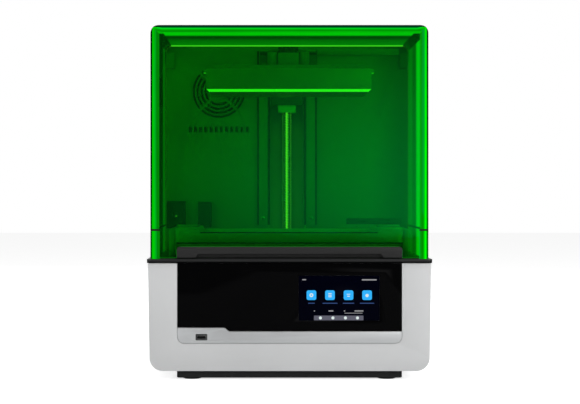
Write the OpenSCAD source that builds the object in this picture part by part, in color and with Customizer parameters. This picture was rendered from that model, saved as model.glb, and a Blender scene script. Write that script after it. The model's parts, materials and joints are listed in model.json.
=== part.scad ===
// Desktop resin printer: grey cabinet, flip-up tinted lid, one screw-driven Z axis,
// and a masking display lit from below by a UV light engine.
// Origin: centre of the footprint on the ground. +X right, +Y back, +Z up.

/* [Cabinet] */
// Width of the cabinet at its top edge
body_w = 390; // [388:0.5:391]
// Depth of the cabinet, front to back
body_d = 363; // [360:0.5:363]
// Height of the underside of the cabinet
body_z0 = 12.5; // [11:0.5:14]
// Height of the top edge of the cabinet
body_z1 = 161; // [158:0.5:161]
// Radius of the two lower corners, seen from the front
body_r = 18; // [12:1:24]
// Thickness of the cabinet walls
body_t = 2; // [2:0.5:4]
// Width of the deck, which forms a lip around the cabinet
deck_w = 393; // [392:0.5:396]
// Depth of the deck
deck_d = 366; // [366:0.5:368]
// Height of the deck's top face
deck_top = 166.5; // [166:0.5:166.5]

/* [Front] */
// Width of the recess that holds the front panel and the trim strip
recess_w = 309.2; // [306:0.2:312]
// Lower edge of that recess
recess_z0 = 50; // [48:0.5:54]
// Centre of the touch screen, to the right of the middle
screen_x = 68.3; // [60:0.1:75]
// Centre of the touch screen, above the ground
screen_z = 112.8; // [108:0.1:116]
// Width of the touch screen
screen_w = 110.8; // [105:0.1:112]
// Height of the touch screen
screen_h = 61.4; // [58:0.1:64]

/* [Lid] */
// Outer width of the lid
lid_w = 385; // [384:0.5:386]
// Height of the top of the closed lid
lid_top = 490; // [489:0.5:491]
// Wall thickness of the lid
lid_t = 4; // [3.5:0.5:4]
// Radius of the front vertical corners
lid_corner_r = 13; // [10:1:14]
// Radius of the upper edges
lid_edge_r = 13; // [10:1:13]

/* [Z axis] */
// Depth position of the screw's axis
screw_y = 122; // [121:0.5:123]
// Radius of the screw
screw_r = 7; // [6:0.5:7.5]
// Height of the build plate's lower face at the top of its travel
plate_z = 401; // [400:0.5:402]
// Width of the build plate
plate_w = 235; // [228:1:236]
// Depth of the build plate
plate_d = 135; // [128:1:136]

/* [Vat] */
// Outer width of the vat
vat_w = 320; // [316:1:320]
// Outer depth of the vat
vat_d = 190; // [184:1:194]
// Height of the vat's rim
vat_z1 = 202.5; // [198:0.5:204]

/* [Hidden] */
$fn = 64;
SKIN = 0.3;                       // gap between panels that lie edge to edge
RUN = 0.05;                       // radial clearance of a running fit

// Cabinet
body_narrow = 2.2;                // how much each side leans in at the bottom
body_front = -body_d / 2;
body_back = body_d / 2;
deck_t = deck_top - body_z1;
deck_r = 6;
plinth_w = 311;
plinth_d = 350;
plinth_r = 6;
plinth_t = 2;
foot_h = 2.5;
foot_r = 12;
foot_x = 135;
foot_y = 155;
slot_w = 3.6;                     // air slots are narrower than a fingertip
slot_pitch = 8;

// Front
panel_t = 3.3;                    // front panel and trim strip sit this deep
recess_r = 10;
step_x = -86.4;                   // where the panel's lower edge steps down
step_half = 3.2;
step_hi = 72.2;
step_lo = 67.1;
usb_x = -121.2;
usb_z = 59.1;
usb_w = 16;
usb_h = 8.5;

// Lid
lid_front = -178;
lid_back = 107;
lid_side_z = 206.6;               // side walls stop above the fixed guards
lid_foot_z = 168;                 // front wall stops above the seal
guard_z1 = 206.2;
guard_x = lid_w / 2 - lid_corner_r - 0.4;
hinge_y = lid_back + 17;
hinge_z = lid_top - 22;
hinge_r = 4;
ear_r = 9;
handle_w = 310.6;
handle_z1 = 183.4;
handle_r = 5;
handle_front = -181;
flange_w = 313;
flange_z1 = 189.2;
finger_w = 252;
finger_z1 = 173.4;

// Rear housing
house_w = lid_w - 2 * lid_t - 0.8;
house_front = 109.5;
house_back = 183;
house_top = lid_top - lid_t - 1.6;
house_t = 2;
house_r = 10;
house_edge_r = 9.5;               // stays inside the lid's inner rounding
back_y = 107;                     // front face of the back panel
bracket_x = 174.5;
bracket_z = 450;
bracket_top = hinge_z + 6.5;

// Z axis
col_w = 58;
col_back = 168;
col_wall = 2.5;
col_web = 6;
col_z0 = 94;
col_z1 = 478;
cover_w = 16.8;
cover_t = 4;
cover_z0 = 206;
rail_w = 15;
rail_h = 10;
rail_y1 = col_back - col_web;
rail_y0 = rail_y1 - rail_h;
block_w = 32;
block_y0 = rail_y0 - 6;
block_z = plate_z - 6;
block_h = 58;
arm_w = 50;
arm_y0 = 104;
arm_z0 = plate_z - 8;
arm_top = plate_z + 55;
nut_r = 13.5;
nut_z0 = plate_z - 19;
nut_h = 29;
bearing_z0 = arm_top + 2.3;
bearing_z1 = 472;
journal_r = 5;
journal_z = 119;                  // where the screw sits in the coupler
coupler_z0 = 103;

// Build plate
plate_y = -40.5;                  // centre of plate, vat and light engine
plate_h = 39;
cover_h = 6;
plate_wall = 5;
plate_floor = 7;
head_top = plate_z + 59;          // seat of the knob
head_w = 84;
head_d = 44;
cross_top = plate_z + 66;
boss_w = 30;
post_r = 6.8;
post_x = 23.5;
post_y = 20;
head_t = 6;                       // thickness of the head's base
knob_r = 15.4;
knob_h = 10;
stem_r = 4;

// Vat
vat_in_w = 250;
vat_in_d = 150;
vat_in_r = 12;
vat_r = 8;
wing_z1 = 207;
ring_z0 = deck_top;
ring_t = 3.3;
film_t = 0.4;
vat_z0 = ring_z0 + ring_t + film_t;
ring_w = 270;
ring_d = 170;
ring_in_w = 246;
ring_in_d = 146;
film_bolt_r = 1.5;
film_head_r = 2.8;
lock_x = 146;
lock_l = 34;
lock_w = 12;
lock_h = 3.6;
rail_gap = 0.4;
vat_rail_w = 8.6;
vat_rail_l = 172;
vat_rail_z1 = 206;

// Masking display and light engine
lcd_w = 232;
lcd_d = 136;
lcd_t = 2;
glass_w = 238;
glass_d = 144;
glass_t = 3;
view_w = 228;
view_d = 128;
box_w = 244;
box_d = 150;
box_t = 3;
box_z0 = 103;
sink_base = 6;
sink_z0 = 66;
led_fan = 120;
led_fan_z = 40;
fan_depth = 25;

// Fans, electronics
heater_x = -106;
heater_z = 414;
heater_fan = 80;
heater_fan_t = 20;
vent_z = 355;
exhaust_x = -110;
exhaust_z = 95;
exhaust_fan = 60;
inlet_x = 122;
inlet_z = 48;
inlet_w = 63;
inlet_h = 28;
inlet_gap = 28;                   // from the inlet's centre to the switch's
switch_tilt = 7;
switch_in = 4;                    // pivot, in from the rear face
pivot_r = 1.5;
outlet_x = 135;
outlet_w = 86;
outlet_z = 212.5;
outlet_h = 9;

// ---- shared shapes ----

// A rounded rectangle, centred
module round_rect(w, d, r) {
    square([w - 2 * r, d], center = true);
    square([w, d - 2 * r], center = true);
    for (x = [-1, 1], y = [-1, 1])
        translate([x * (w / 2 - r), y * (d / 2 - r)]) circle(r);
}

// A box given by its lowest and highest corners
module span(low, high) {
    translate(low) cube(high - low);
}

// A 2D shape drawn as (X, Z), extruded from y0 to y1
module along_y(y0, y1) {
    translate([0, y1, 0]) rotate([90, 0, 0]) linear_extrude(y1 - y0) children();
}

// A 2D shape drawn as (Y, Z), extruded from x0 to x1
module along_x(x0, x1) {
    translate([x0, 0, 0]) rotate([90, 0, 90]) linear_extrude(x1 - x0) children();
}

// A 2D shape drawn as (X, Y), extruded from z0 to z1
module along_z(z0, z1) {
    translate([0, 0, z0]) linear_extrude(z1 - z0) children();
}

// Both sides of the machine
module both_sides() {
    children();
    mirror([1, 0, 0]) children();
}

// A row of parallel air slots, centred, each standing along Y of the drawing
module slot_row(count, length) {
    for (i = [0 : count - 1])
        translate([(i - (count - 1) / 2) * slot_pitch, 0])
            square([slot_w, length], center = true);
}

// Square axial fan: frame with its stator post, axis +Z, seat at z = 0
module fan_frame(size, depth) {
    bore = size / 2 - 2;
    corner_r = 4;
    hole_in = 5;
    hole_r = 2.1;
    strut_w = 4;
    strut_h = 2.4;
    strut_z = 0.4;
    strut_reach = bore + 1.5;
    hub_r = size * 0.2;
    post_z = 1;
    post_end = 5.5;
    linear_extrude(depth) difference() {
        round_rect(size, size, corner_r);
        circle(bore);
        for (x = [-1, 1], y = [-1, 1])
            translate([x, y] * (size / 2 - hole_in)) circle(hole_r);
    }
    translate([0, 0, strut_z]) linear_extrude(strut_h) {
        circle(hub_r);
        for (a = [45 : 90 : 315])
            rotate(a) translate([0, -strut_w / 2]) square([strut_reach, strut_w]);
    }
    translate([0, 0, post_z]) cylinder(r = stem_r, h = depth - post_end - post_z);
}

// The fan's rotor, which turns on the stator post
module fan_rotor(size, depth) {
    hub_r = size * 0.21;
    hub_z = 3.2;
    tip_r = size / 2 - 3.2;
    blades = 7;
    blade_t = 1.8;
    blade_tilt = 38;
    blade_z0 = 4;
    cap_t = 2;
    difference() {
        union() {
            translate([0, 0, hub_z]) cylinder(r = hub_r, h = depth - hub_z - 1);
            intersection() {
                for (i = [0 : blades - 1])
                    rotate(i * 360 / blades) translate([0, 0, depth / 2]) rotate([blade_tilt, 0, 0])
                        translate([0, -blade_t / 2, -depth]) cube([tip_r + 5, blade_t, 2 * depth]);
                translate([0, 0, blade_z0]) difference() {
                    cylinder(r = tip_r, h = depth - blade_z0 - cap_t);
                    translate([0, 0, -1]) cylinder(r = hub_r - 1, h = depth);
                }
            }
        }
        translate([0, 0, hub_z - 0.2]) cylinder(r = stem_r + RUN, h = depth - hub_z - cap_t - 2.8);
    }
}

// ---- cabinet ----

// Front view of the cabinet, narrowed by t all round
module body_profile(t) {
    w1 = body_w / 2 - t;
    w0 = w1 - body_narrow;
    z0 = body_z0 + t;
    z1 = body_z1 + (t > 0 ? 1 : 0);
    r = body_r - t;
    polygon([[-w1, z1], [-w0, z0 + r], [w0, z0 + r], [w1, z1]]);
    translate([0, z0 + r / 2]) square([2 * (w0 - r), r], center = true);
    for (x = [-1, 1]) intersection() {
        translate([x * (w0 - r), z0 + r]) circle(r);
        translate([x * (w0 - r / 2), z0 + r / 2]) square([r, r], center = true);
    }
}

module recess_profile(gap) {
    w = recess_w - 2 * gap;
    z0 = recess_z0 + gap;
    top = body_z1 - gap;
    r = recess_r - gap;
    translate([0, (z0 + r + top) / 2]) square([w, top - z0 - r], center = true);
    translate([0, z0 + r / 2]) square([w - 2 * r, r], center = true);
    for (x = [-1, 1]) intersection() {
        translate([x * (w / 2 - r), z0 + r]) circle(r);
        translate([x * (w / 2 - r / 2), z0 + r / 2]) square([r, r], center = true);
    }
}

// Air intake below the LED fan
module intake() {
    row_gap = 48;
    for (row = [-0.5, 0.5]) translate([0, plate_y + row * row_gap]) slot_row(12, 40);
}

// Cut-outs in the cabinet's rear wall
module rear_openings() {
    along_y(body_back - body_t - 1, body_back + 1) {
        translate([exhaust_x, exhaust_z]) slot_row(7, 48);
        translate([inlet_x + inlet_gap / 2, inlet_z])
            square([inlet_w + 1, inlet_h + 1], center = true);
    }
}

module base_housing() color([0.78, 0.79, 0.8]) difference() {
    through = 8;
    along_y(body_front, body_back) body_profile(0);
    along_y(body_front + body_t + panel_t, body_back - body_t) body_profile(body_t);
    along_y(body_front - 1, body_front + panel_t)
        union() {
            recess_profile(0);
            translate([0, body_z1]) square([recess_w, 2], center = true);
        }
    along_y(body_front, body_front + through) {
        translate([screen_x, screen_z]) square([screen_w - 10.8, screen_h - 9.4], center = true);
        translate([usb_x, usb_z]) square([usb_w + 2, usb_h + 3.5], center = true);
    }
    along_z(body_z0 - 1, body_z0 + body_t + 1) intake();
    rear_openings();
}

module base_plate() color([0.13, 0.13, 0.13]) difference() {
    along_z(foot_h, body_z0) round_rect(plinth_w, plinth_d, plinth_r);
    along_z(foot_h + plinth_t, body_z0 + 1)
        round_rect(plinth_w - 2 * plinth_t, plinth_d - 2 * plinth_t, plinth_r - plinth_t);
    along_z(foot_h - 1, body_z0) intake();
}

module rubber_feet() color([0.08, 0.08, 0.08])
    for (x = [-1, 1], y = [-1, 1])
        translate([x * foot_x, y * foot_y, 0]) cylinder(r = foot_r, h = foot_h);

module deck_plate() color([0.2, 0.2, 0.2]) difference() {
    slot = 0.6;
    along_z(body_z1, deck_top) round_rect(deck_w, deck_d, deck_r);
    translate([0, plate_y, 0]) {
        along_z(body_z1 - 1, deck_top + 1) square([view_w, view_d], center = true);
        along_z(deck_top - lcd_t, deck_top + 1) square([lcd_w + 2 * SKIN, lcd_d + 2 * SKIN], center = true);
    }
    span([-col_w / 2 - slot, arm_y0 - 3, body_z1 - 1], [col_w / 2 + slot, col_back + slot, deck_top + 1]);
    both_sides() translate([lock_x, plate_y, body_z1 - 1]) cylinder(r = stem_r + 0.5, h = deck_t + 2);
}

// ---- front ----

// Region above the stepped line that parts the panel from the strip
module above_step(shift) {
    side = recess_w;
    polygon([
        [-side, step_hi + shift], [step_x - step_half, step_hi + shift],
        [step_x + step_half, step_lo + shift], [side, step_lo + shift],
        [side, body_z1 + side], [-side, body_z1 + side]
    ]);
}

module front_panel() color([0.02, 0.02, 0.02])
    along_y(body_front, body_front + panel_t) difference() {
        intersection() {
            recess_profile(SKIN);
            above_step(SKIN);
        }
        translate([screen_x, screen_z]) square([screen_w + 0.4, screen_h + 0.4], center = true);
    }

module trim_strip() color([0.66, 0.67, 0.68])
    along_y(body_front, body_front + panel_t) difference() {
        recess_profile(SKIN);
        above_step(-SKIN);
        translate([usb_x, usb_z]) round_rect(usb_w, usb_h, 1);
    }

module touch_screen() color([0.01, 0.02, 0.06]) {
    case_w = screen_w - 18.8;
    case_h = screen_h - 15.4;
    case_depth = 12;
    along_y(body_front + 0.2, body_front + panel_t)
        translate([screen_x, screen_z]) square([screen_w, screen_h], center = true);
    along_y(body_front + panel_t, body_front + case_depth)
        translate([screen_x, screen_z]) square([case_w, case_h], center = true);
}

module usb_socket() color([0.6, 0.61, 0.62]) {
    shell_w = 13.2;
    shell_h = 5.8;
    wall = 0.4;
    tongue_w = 11;
    tongue_h = 1.9;
    mouth = body_front + 0.8;
    depth = 17;
    difference() {
        union() {
            along_y(mouth, mouth + depth)
                translate([usb_x, usb_z]) square([shell_w, shell_h], center = true);
            along_y(body_front + panel_t, body_front + 8)
                translate([usb_x, usb_z]) square([usb_w + 1, usb_h + 1], center = true);
        }
        along_y(mouth - 1, mouth + depth - 1)
            translate([usb_x, usb_z]) square([shell_w - 2 * wall, shell_h - 2 * wall], center = true);
    }
    along_y(mouth + 1.5, mouth + depth)
        translate([usb_x, usb_z + 1]) square([tongue_w, tongue_h], center = true);
}

// ---- masking display and light engine ----

module lcd_panel() color([0.05, 0.06, 0.08])
    translate([0, plate_y, deck_top - lcd_t / 2]) cube([lcd_w, lcd_d, lcd_t], center = true);

module lcd_glass() color([0.1, 0.12, 0.14])
    translate([0, plate_y, 0]) along_z(deck_top, deck_top + glass_t) round_rect(glass_w, glass_d, 2);

module light_box() color([0.75, 0.76, 0.78])
    translate([0, plate_y, 0]) along_z(box_z0, body_z1) difference() {
        square([box_w, box_d], center = true);
        square([box_w - 2 * box_t, box_d - 2 * box_t], center = true);
    }

// Places of the 40 LEDs and of the lenses over them
module led_spots() {
    pitch_x = 29;
    pitch_y = 27.5;
    for (i = [-3.5 : 3.5], j = [-2 : 2]) translate([i * pitch_x, j * pitch_y, 0]) children();
}

module lens_array() color([0.85, 0.9, 0.95]) {
    sheet_t = 3;
    lens_h = 3;
    z0 = box_z0 + 5;
    translate([0, plate_y, z0]) {
        linear_extrude(sheet_t) square([box_w - 2 * box_t, box_d - 2 * box_t], center = true);
        led_spots() translate([0, 0, sheet_t]) cylinder(r1 = 13, r2 = 9, h = lens_h);
    }
}

module led_board() color([0.9, 0.9, 0.86]) {
    board_t = 2;
    led = [4, 4, 1.2];
    translate([0, plate_y, box_z0]) {
        linear_extrude(board_t) square([box_w - 2 * box_t, box_d - 2 * box_t], center = true);
        led_spots() translate([0, 0, board_t + led.z / 2]) cube(led, center = true);
    }
}

module heatsink() color([0.55, 0.56, 0.58])
    along_y(plate_y - box_d / 2, plate_y + box_d / 2) {
        fin_t = 2;
        fin_pitch = 8;
        fin_count = 31;
        base_z0 = box_z0 - sink_base;
        translate([-box_w / 2, base_z0]) square([box_w, sink_base]);
        for (i = [0 : fin_count - 1])
            translate([(i - (fin_count - 1) / 2) * fin_pitch - fin_t / 2, sink_z0])
                square([fin_t, base_z0 - sink_z0]);
    }

module led_fan_frame() color([0.1, 0.1, 0.11])
    translate([0, plate_y, led_fan_z]) fan_frame(led_fan, fan_depth);

module led_fan_rotor() color([0.16, 0.16, 0.17])
    translate([0, plate_y, led_fan_z]) fan_rotor(led_fan, fan_depth);

// ---- electronics ----

module mainboard() color([0.05, 0.3, 0.2]) {
    floor_z = body_z0 + body_t;
    stand_h = 5;
    stand_r = 3;
    stand_in = 6;
    board = [125, 100, 1.6];
    low = [-170, 50, floor_z + stand_h];
    header = [10, 68, 8.4];
    cooler = [30, 30, 4.4];
    chip = [14, 14, 1.4];
    plug = [4, 9, 7.4];
    plug_pitch = 6;
    can_r = 5;
    can_h = 12;
    can_pitch = 14;
    translate(low) {
        cube(board);
        for (x = [stand_in, board.x - stand_in], y = [stand_in, board.y - stand_in])
            translate([x, y, -stand_h]) cylinder(r = stand_r, h = stand_h);
        translate([5, 16, board.z]) cube(header);
        translate([40, 30, board.z]) cube(cooler);
        translate([78, 38, board.z]) cube(chip);
        for (i = [0 : 3]) translate([98 + i * plug_pitch, 88, board.z]) cube(plug);
        for (i = [0 : 2]) translate([110, 12 + i * can_pitch, board.z]) cylinder(r = can_r, h = can_h);
    }
}

module power_supply() color([0.72, 0.73, 0.74]) translate([40, 50, body_z0 + body_t]) {
    case = [115, 85, 38];
    lid_cut = 2;
    strip_x = 101;                // open end with the screw terminals
    strip_z = 20;
    terminal = [10, 10, 11];
    pitch = 15;
    difference() {
        cube(case);
        translate([50, case.y / 2, case.z - lid_cut]) linear_extrude(lid_cut + 1) slot_row(8, 60);
        translate([strip_x, -1, strip_z]) cube(case + [0, 2, 0]);
    }
    for (i = [0 : 4]) translate([strip_x + 1, 8 + i * pitch, strip_z]) cube(terminal);
}

module power_inlet() color([0.06, 0.06, 0.06]) {
    mid_x = inlet_x + inlet_gap / 2;
    front = deck_d / 2;
    flange_w = inlet_w + 5;
    flange_h = inlet_h + 6;
    depth = 26;
    cavity_d = 16;
    cavity_w = 27.6;
    cavity_h = 19.4;
    rocker_w = 13.6;
    rocker_h = 20.4;
    pivot_w = 15.2;
    pin = [2, cavity_d - 5.5, 4];
    difference() {
        union() {
            along_y(body_back, front) translate([mid_x, inlet_z]) round_rect(flange_w, flange_h, 3);
            along_y(body_back - depth, body_back)
                translate([mid_x, inlet_z]) square([inlet_w, inlet_h], center = true);
        }
        along_y(front - cavity_d, front + 1) {
            translate([inlet_x, inlet_z]) round_rect(cavity_w, cavity_h, 3);
            translate([inlet_x + inlet_gap, inlet_z]) square([rocker_w, rocker_h], center = true);
        }
        translate([inlet_x + inlet_gap, front - switch_in, inlet_z])
            rotate([0, 90, 0]) cylinder(r = pivot_r + RUN, h = pivot_w, center = true);
    }
    for (place = [[-7, -2], [0, 2], [7, -2]])
        translate([inlet_x + place[0] - pin.x / 2, front - cavity_d, inlet_z + place[1] - pin.z / 2])
            cube(pin);
}

module power_switch() color([0.09, 0.09, 0.09])
    translate([inlet_x + inlet_gap, deck_d / 2 - switch_in, inlet_z]) {
        half_w = 6.4;
        half_h = 9.2;
        pivot_w = 15;
        rotate([-switch_tilt, 0, 0]) along_x(-half_w, half_w)
            polygon([[-5, -5], [1.2, -half_h], [2.4, 0], [1.2, half_h], [-5, 5]]);
        rotate([0, 90, 0]) cylinder(r = pivot_r, h = pivot_w, center = true);
    }

module exhaust_fan_frame() color([0.1, 0.1, 0.11])
    translate([exhaust_x, body_back - body_t, exhaust_z]) rotate([90, 0, 0]) fan_frame(exhaust_fan, 20);

module exhaust_fan_rotor() color([0.16, 0.16, 0.17])
    translate([exhaust_x, body_back - body_t, exhaust_z]) rotate([90, 0, 0]) fan_rotor(exhaust_fan, 20);

// ---- Z axis ----

module z_column() color([0.5, 0.51, 0.52]) difference() {
    shelf_t = 6;
    foot_w = 16;
    pilot_r = 11;
    bolt = 15.5;
    bolt_r = 1.6;
    union() {
        along_z(col_z0, col_z1) difference() {
            translate([-col_w / 2, back_y]) square([col_w, col_back - back_y]);
            translate([-col_w / 2 + col_wall, back_y - 1])
                square([col_w - 2 * col_wall, col_back - col_web - back_y + 1]);
        }
        span([-col_w / 2, screw_y - 24, col_z0], [col_w / 2, col_back, col_z0 + shelf_t]);
        both_sides() span([col_w / 2 - 1, 112, body_z1 - 6], [col_w / 2 + foot_w, 164, body_z1]);
    }
    translate([0, screw_y, col_z0 - 1]) {
        cylinder(r = pilot_r, h = shelf_t + 2);
        for (x = [-1, 1], y = [-1, 1])
            translate([x * bolt, y * bolt, 0]) cylinder(r = bolt_r, h = shelf_t + 2);
    }
}

module linear_rail() color([0.7, 0.71, 0.72]) difference() {
    waist_in = 1;
    waist_z0 = 3;
    waist_z1 = 5.5;
    bolt_pitch = 60;
    bolt_r = 2.25;
    bolt_head_r = 3.75;
    bolt_head = 4.5;
    along_z(col_z0 + 8, col_z1 - 4) translate([-rail_w / 2, rail_y0]) {
        square([rail_w, waist_z0]);
        translate([waist_in, waist_z0]) square([rail_w - 2 * waist_in, waist_z1 - waist_z0]);
        translate([0, waist_z1]) square([rail_w, rail_h - waist_z1]);
    }
    for (z = [col_z0 + 28 : bolt_pitch : col_z1 - 20]) translate([0, rail_y0 - 1, z]) rotate([-90, 0, 0]) {
        cylinder(r = bolt_head_r, h = bolt_head + 1);
        cylinder(r = bolt_r, h = rail_h + 2);
    }
}

module z_motor() color([0.12, 0.12, 0.13]) {
    side = 21.15;
    cut = 4;
    length = 40;
    boss_r = 11;
    shaft_r = 2.5;
    translate([0, screw_y, 0]) difference() {
        union() {
            along_z(col_z0 - length, col_z0) polygon([
                [-side, -side + cut], [-side + cut, -side], [side - cut, -side], [side, -side + cut],
                [side, side - cut], [side - cut, side], [-side + cut, side], [-side, side - cut]
            ]);
            translate([0, 0, col_z0 - 1]) cylinder(r = boss_r, h = 3);
        }
        translate([0, 0, col_z0 - 12]) cylinder(r = shaft_r + RUN, h = 20);
    }
}

module z_coupler() color([0.62, 0.63, 0.65]) translate([0, screw_y, coupler_z0]) difference() {
    coupler_r = 10;
    coupler_h = 34;
    shaft_r = 2.5;
    shaft_low = 20;
    slit = [17, 22, 1];
    union() {
        cylinder(r = coupler_r, h = coupler_h);
        translate([0, 0, -shaft_low]) cylinder(r = shaft_r, h = shaft_low + 2);
    }
    translate([0, 0, journal_z - coupler_z0]) cylinder(r = journal_r, h = coupler_h);
    for (z = [6, 13]) translate([-slit.y / 2, -0.5, z]) cube(slit);
}

module lead_screw() color([0.75, 0.76, 0.78]) translate([0, screw_y, 0]) {
    shoulder_z = 140;
    end_gap = 0.4;
    journal_h = 10;
    translate([0, 0, journal_z]) cylinder(r = journal_r, h = shoulder_z - journal_z + 1);
    translate([0, 0, shoulder_z]) cylinder(r = screw_r, h = bearing_z0 - end_gap - shoulder_z);
    translate([0, 0, bearing_z0 - 1]) cylinder(r = journal_r, h = journal_h + 1);
}

module screw_bearing() color([0.6, 0.61, 0.62]) difference() {
    half_w = 20;
    front = 108;
    span([-half_w, front, bearing_z0], [half_w, rail_y1, bearing_z1]);
    span([-rail_w / 2 - SKIN, rail_y0 - SKIN, bearing_z0 - 1],
         [rail_w / 2 + SKIN, rail_y1 + 1, bearing_z1 + 1]);
    translate([0, screw_y, bearing_z0 - 1]) cylinder(r = journal_r + RUN, h = 12);
}

module limit_sensor() color([0.08, 0.08, 0.09]) difference() {
    x0 = -col_w / 2 + col_wall;
    x1 = -20.6;
    y0 = 128;
    length = 18;
    gap_l = 12;
    wall = 1.6;
    span([x0, y0, bearing_z0 + 1], [x1, y0 + length, bearing_z1]);
    span([x0 + wall, y0 - 1, bearing_z0], [x1 - wall, y0 + gap_l, bearing_z0 + 8]);
}

module carriage_block() color([0.66, 0.67, 0.68]) along_z(block_z, block_z + block_h) difference() {
    block_d = 12;
    translate([-block_w / 2, block_y0]) square([block_w, block_d]);
    translate([-rail_w / 2 - SKIN, rail_y0 - SKIN]) square([rail_w + 2 * SKIN, block_d]);
}

module screw_nut() color([0.8, 0.8, 0.78]) translate([0, screw_y, nut_z0]) difference() {
    union() {
        cylinder(r = nut_r, h = nut_h);
        translate([-nut_r, -nut_r, 0]) cube([2 * nut_r, 2 * nut_r, arm_z0 - nut_z0 - SKIN]);
    }
    translate([0, 0, -1]) cylinder(r = screw_r + RUN, h = nut_h + 2);
}

// The four places of the levelling screws
module post_spots() {
    for (x = [-1, 1], y = [-1, 1]) translate([x * post_x, plate_y + y * post_y, 0]) children();
}

module z_arm() color([0.3, 0.31, 0.32]) {
    plate_top = plate_z + plate_h;
    beam_h = 13;
    gusset_h = 32;
    gusset_y0 = 62;               // stays behind the vat at the bottom of the travel
    gusset_y1 = 86;
    boss_front = 26;
    clear = 2;
    cross_y0 = plate_y + post_y + post_r + 2;
    cross_d = 18;
    difference() {
        union() {
            span([-arm_w / 2, arm_y0, arm_z0], [arm_w / 2, block_y0, arm_top]);
            along_x(-boss_w / 2, boss_w / 2) polygon([
                [arm_y0 + 1, arm_top - gusset_h], [arm_y0 + 1, arm_top], [cross_y0, arm_top],
                [cross_y0, arm_top - beam_h], [gusset_y0, arm_top - beam_h], [gusset_y1, arm_top - gusset_h]
            ]);
            span([-head_w / 2, cross_y0, plate_top], [head_w / 2, cross_y0 + cross_d, cross_top]);
            span([-boss_w / 2, plate_y - boss_front, plate_top], [boss_w / 2, cross_y0 + 1, head_top]);
            translate([0, plate_y, plate_top]) linear_extrude(head_t) round_rect(head_w, head_d, 6);
        }
        translate([0, screw_y, arm_z0 - 1]) {
            cylinder(r = screw_r + clear, h = 80);
            cylinder(r = nut_r, h = nut_z0 + nut_h - arm_z0 + 1);
        }
        translate([0, plate_y, plate_top - 1]) cylinder(r = stem_r + RUN, h = 30);
        translate([0, 0, plate_top - 1]) post_spots() cylinder(r = post_r + RUN, h = head_t + 2);
    }
}

module level_screws() color([0.7, 0.7, 0.7]) {
    post_h = 21;
    socket_r = 3.5;
    socket_depth = 3;
    translate([0, 0, plate_z + plate_h]) post_spots() difference() {
        cylinder(r = post_r, h = post_h);
        translate([0, 0, post_h - socket_depth]) cylinder(r = socket_r, h = socket_depth + 1, $fn = 6);
    }
}

module plate_knob() color([0.1, 0.1, 0.1]) translate([0, plate_y, 0]) {
    lobes = 8;
    scallop_r = 4;
    lift = 0.2;
    stem_z = plate_z + plate_h - 4;
    translate([0, 0, head_top + lift]) difference() {
        cylinder(r = knob_r, h = knob_h - lift);
        for (i = [0 : lobes - 1])
            rotate(i * 360 / lobes) translate([knob_r + 2.2, 0, -1]) cylinder(r = scallop_r, h = knob_h + 2);
    }
    translate([0, 0, stem_z]) cylinder(r = stem_r, h = head_top - stem_z + 1);
}

// ---- build plate ----

module build_plate() color([0.6, 0.61, 0.62]) {
    bevel = 4;
    peg_r = 3;
    peg_l = 5;
    peg_y = 7;
    z1 = plate_z + plate_h - cover_h;
    w = plate_w / 2;
    d = plate_d / 2;
    difference() {
        intersection() {
            along_y(plate_y - d, plate_y + d) polygon([
                [-w + bevel, plate_z], [w - bevel, plate_z], [w, plate_z + bevel],
                [w, z1], [-w, z1], [-w, plate_z + bevel]
            ]);
            along_x(-w, w) translate([plate_y, 0]) polygon([
                [-d + bevel, plate_z], [d - bevel, plate_z], [d, plate_z + bevel],
                [d, z1], [-d, z1], [-d, plate_z + bevel]
            ]);
        }
        translate([0, plate_y, plate_z + plate_floor])
            linear_extrude(plate_h) square([2 * (w - plate_wall), 2 * (d - plate_wall)], center = true);
    }
    for (x = [-1, 1])
        translate([x * (w - 1), plate_y - d + peg_y, z1 - peg_r - 1])
            rotate([0, x * 90, 0]) cylinder(r = peg_r, h = peg_l);
}

module plate_cover() color([0.55, 0.56, 0.57]) {
    slope = 8;
    z0 = plate_z + plate_h - cover_h;
    z1 = plate_z + plate_h;
    w = plate_w / 2;
    d = plate_d / 2;
    difference() {
        intersection() {
            along_y(plate_y - d, plate_y + d)
                polygon([[-w, z0], [w, z0], [w - slope, z1], [-w + slope, z1]]);
            along_x(-w, w) translate([plate_y, 0])
                polygon([[-d, z0], [d, z0], [d - slope, z1], [-d + slope, z1]]);
        }
        translate([0, plate_y, z1 - 4.5]) cylinder(r = stem_r + 0.3, h = 6);
    }
}

// ---- rear housing ----

module grille_ring(r) {
    ring_half = 1.7;
    spoke_w = 4.5;
    difference() {
        circle(r + ring_half);
        circle(r - ring_half);
        for (a = [45, 135]) rotate(a) square([2 * r + 10, spoke_w], center = true);
    }
}

// Front view of the rear housing, narrowed by t
module house_front_view(t) {
    w = house_w / 2 - t;
    top = house_top - t;
    r = house_edge_r - t;
    low = deck_top - (t > 0 ? 1 : 0);
    translate([-w, low]) square([2 * w, top - r - low]);
    translate([-w + r, low]) square([2 * (w - r), top - low]);
    for (x = [-1, 1]) translate([x * (w - r), top - r]) circle(r);
}

module back_panel() color([0.42, 0.43, 0.44]) along_y(back_y, house_front) difference() {
    side_gap = 0.2;
    vent = [4.6, 8.4];
    house_front_view(0);
    translate([-col_w / 2 - side_gap, deck_top - 1])
        square([col_w + 2 * side_gap, col_z1 + side_gap - deck_top + 1]);
    for (x = [-1, 1]) translate([x * (bracket_x + 10), (bracket_z + bracket_top) / 2])
        square([20, bracket_top - bracket_z], center = true);
    translate([heater_x, heater_z]) for (r = [20, 26.6, 33, 39]) grille_ring(r);
    for (i = [-5.5 : 5.5]) translate([heater_x + i * slot_pitch, vent_z]) square(vent, center = true);
    translate([outlet_x, outlet_z]) square([outlet_w, outlet_h], center = true);
}

module column_covers() color([0.4, 0.41, 0.42])
    both_sides() span([col_w / 2 + 0.2, back_y - cover_t, cover_z0], [col_w / 2 + cover_w, back_y, col_z1]);

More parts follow.
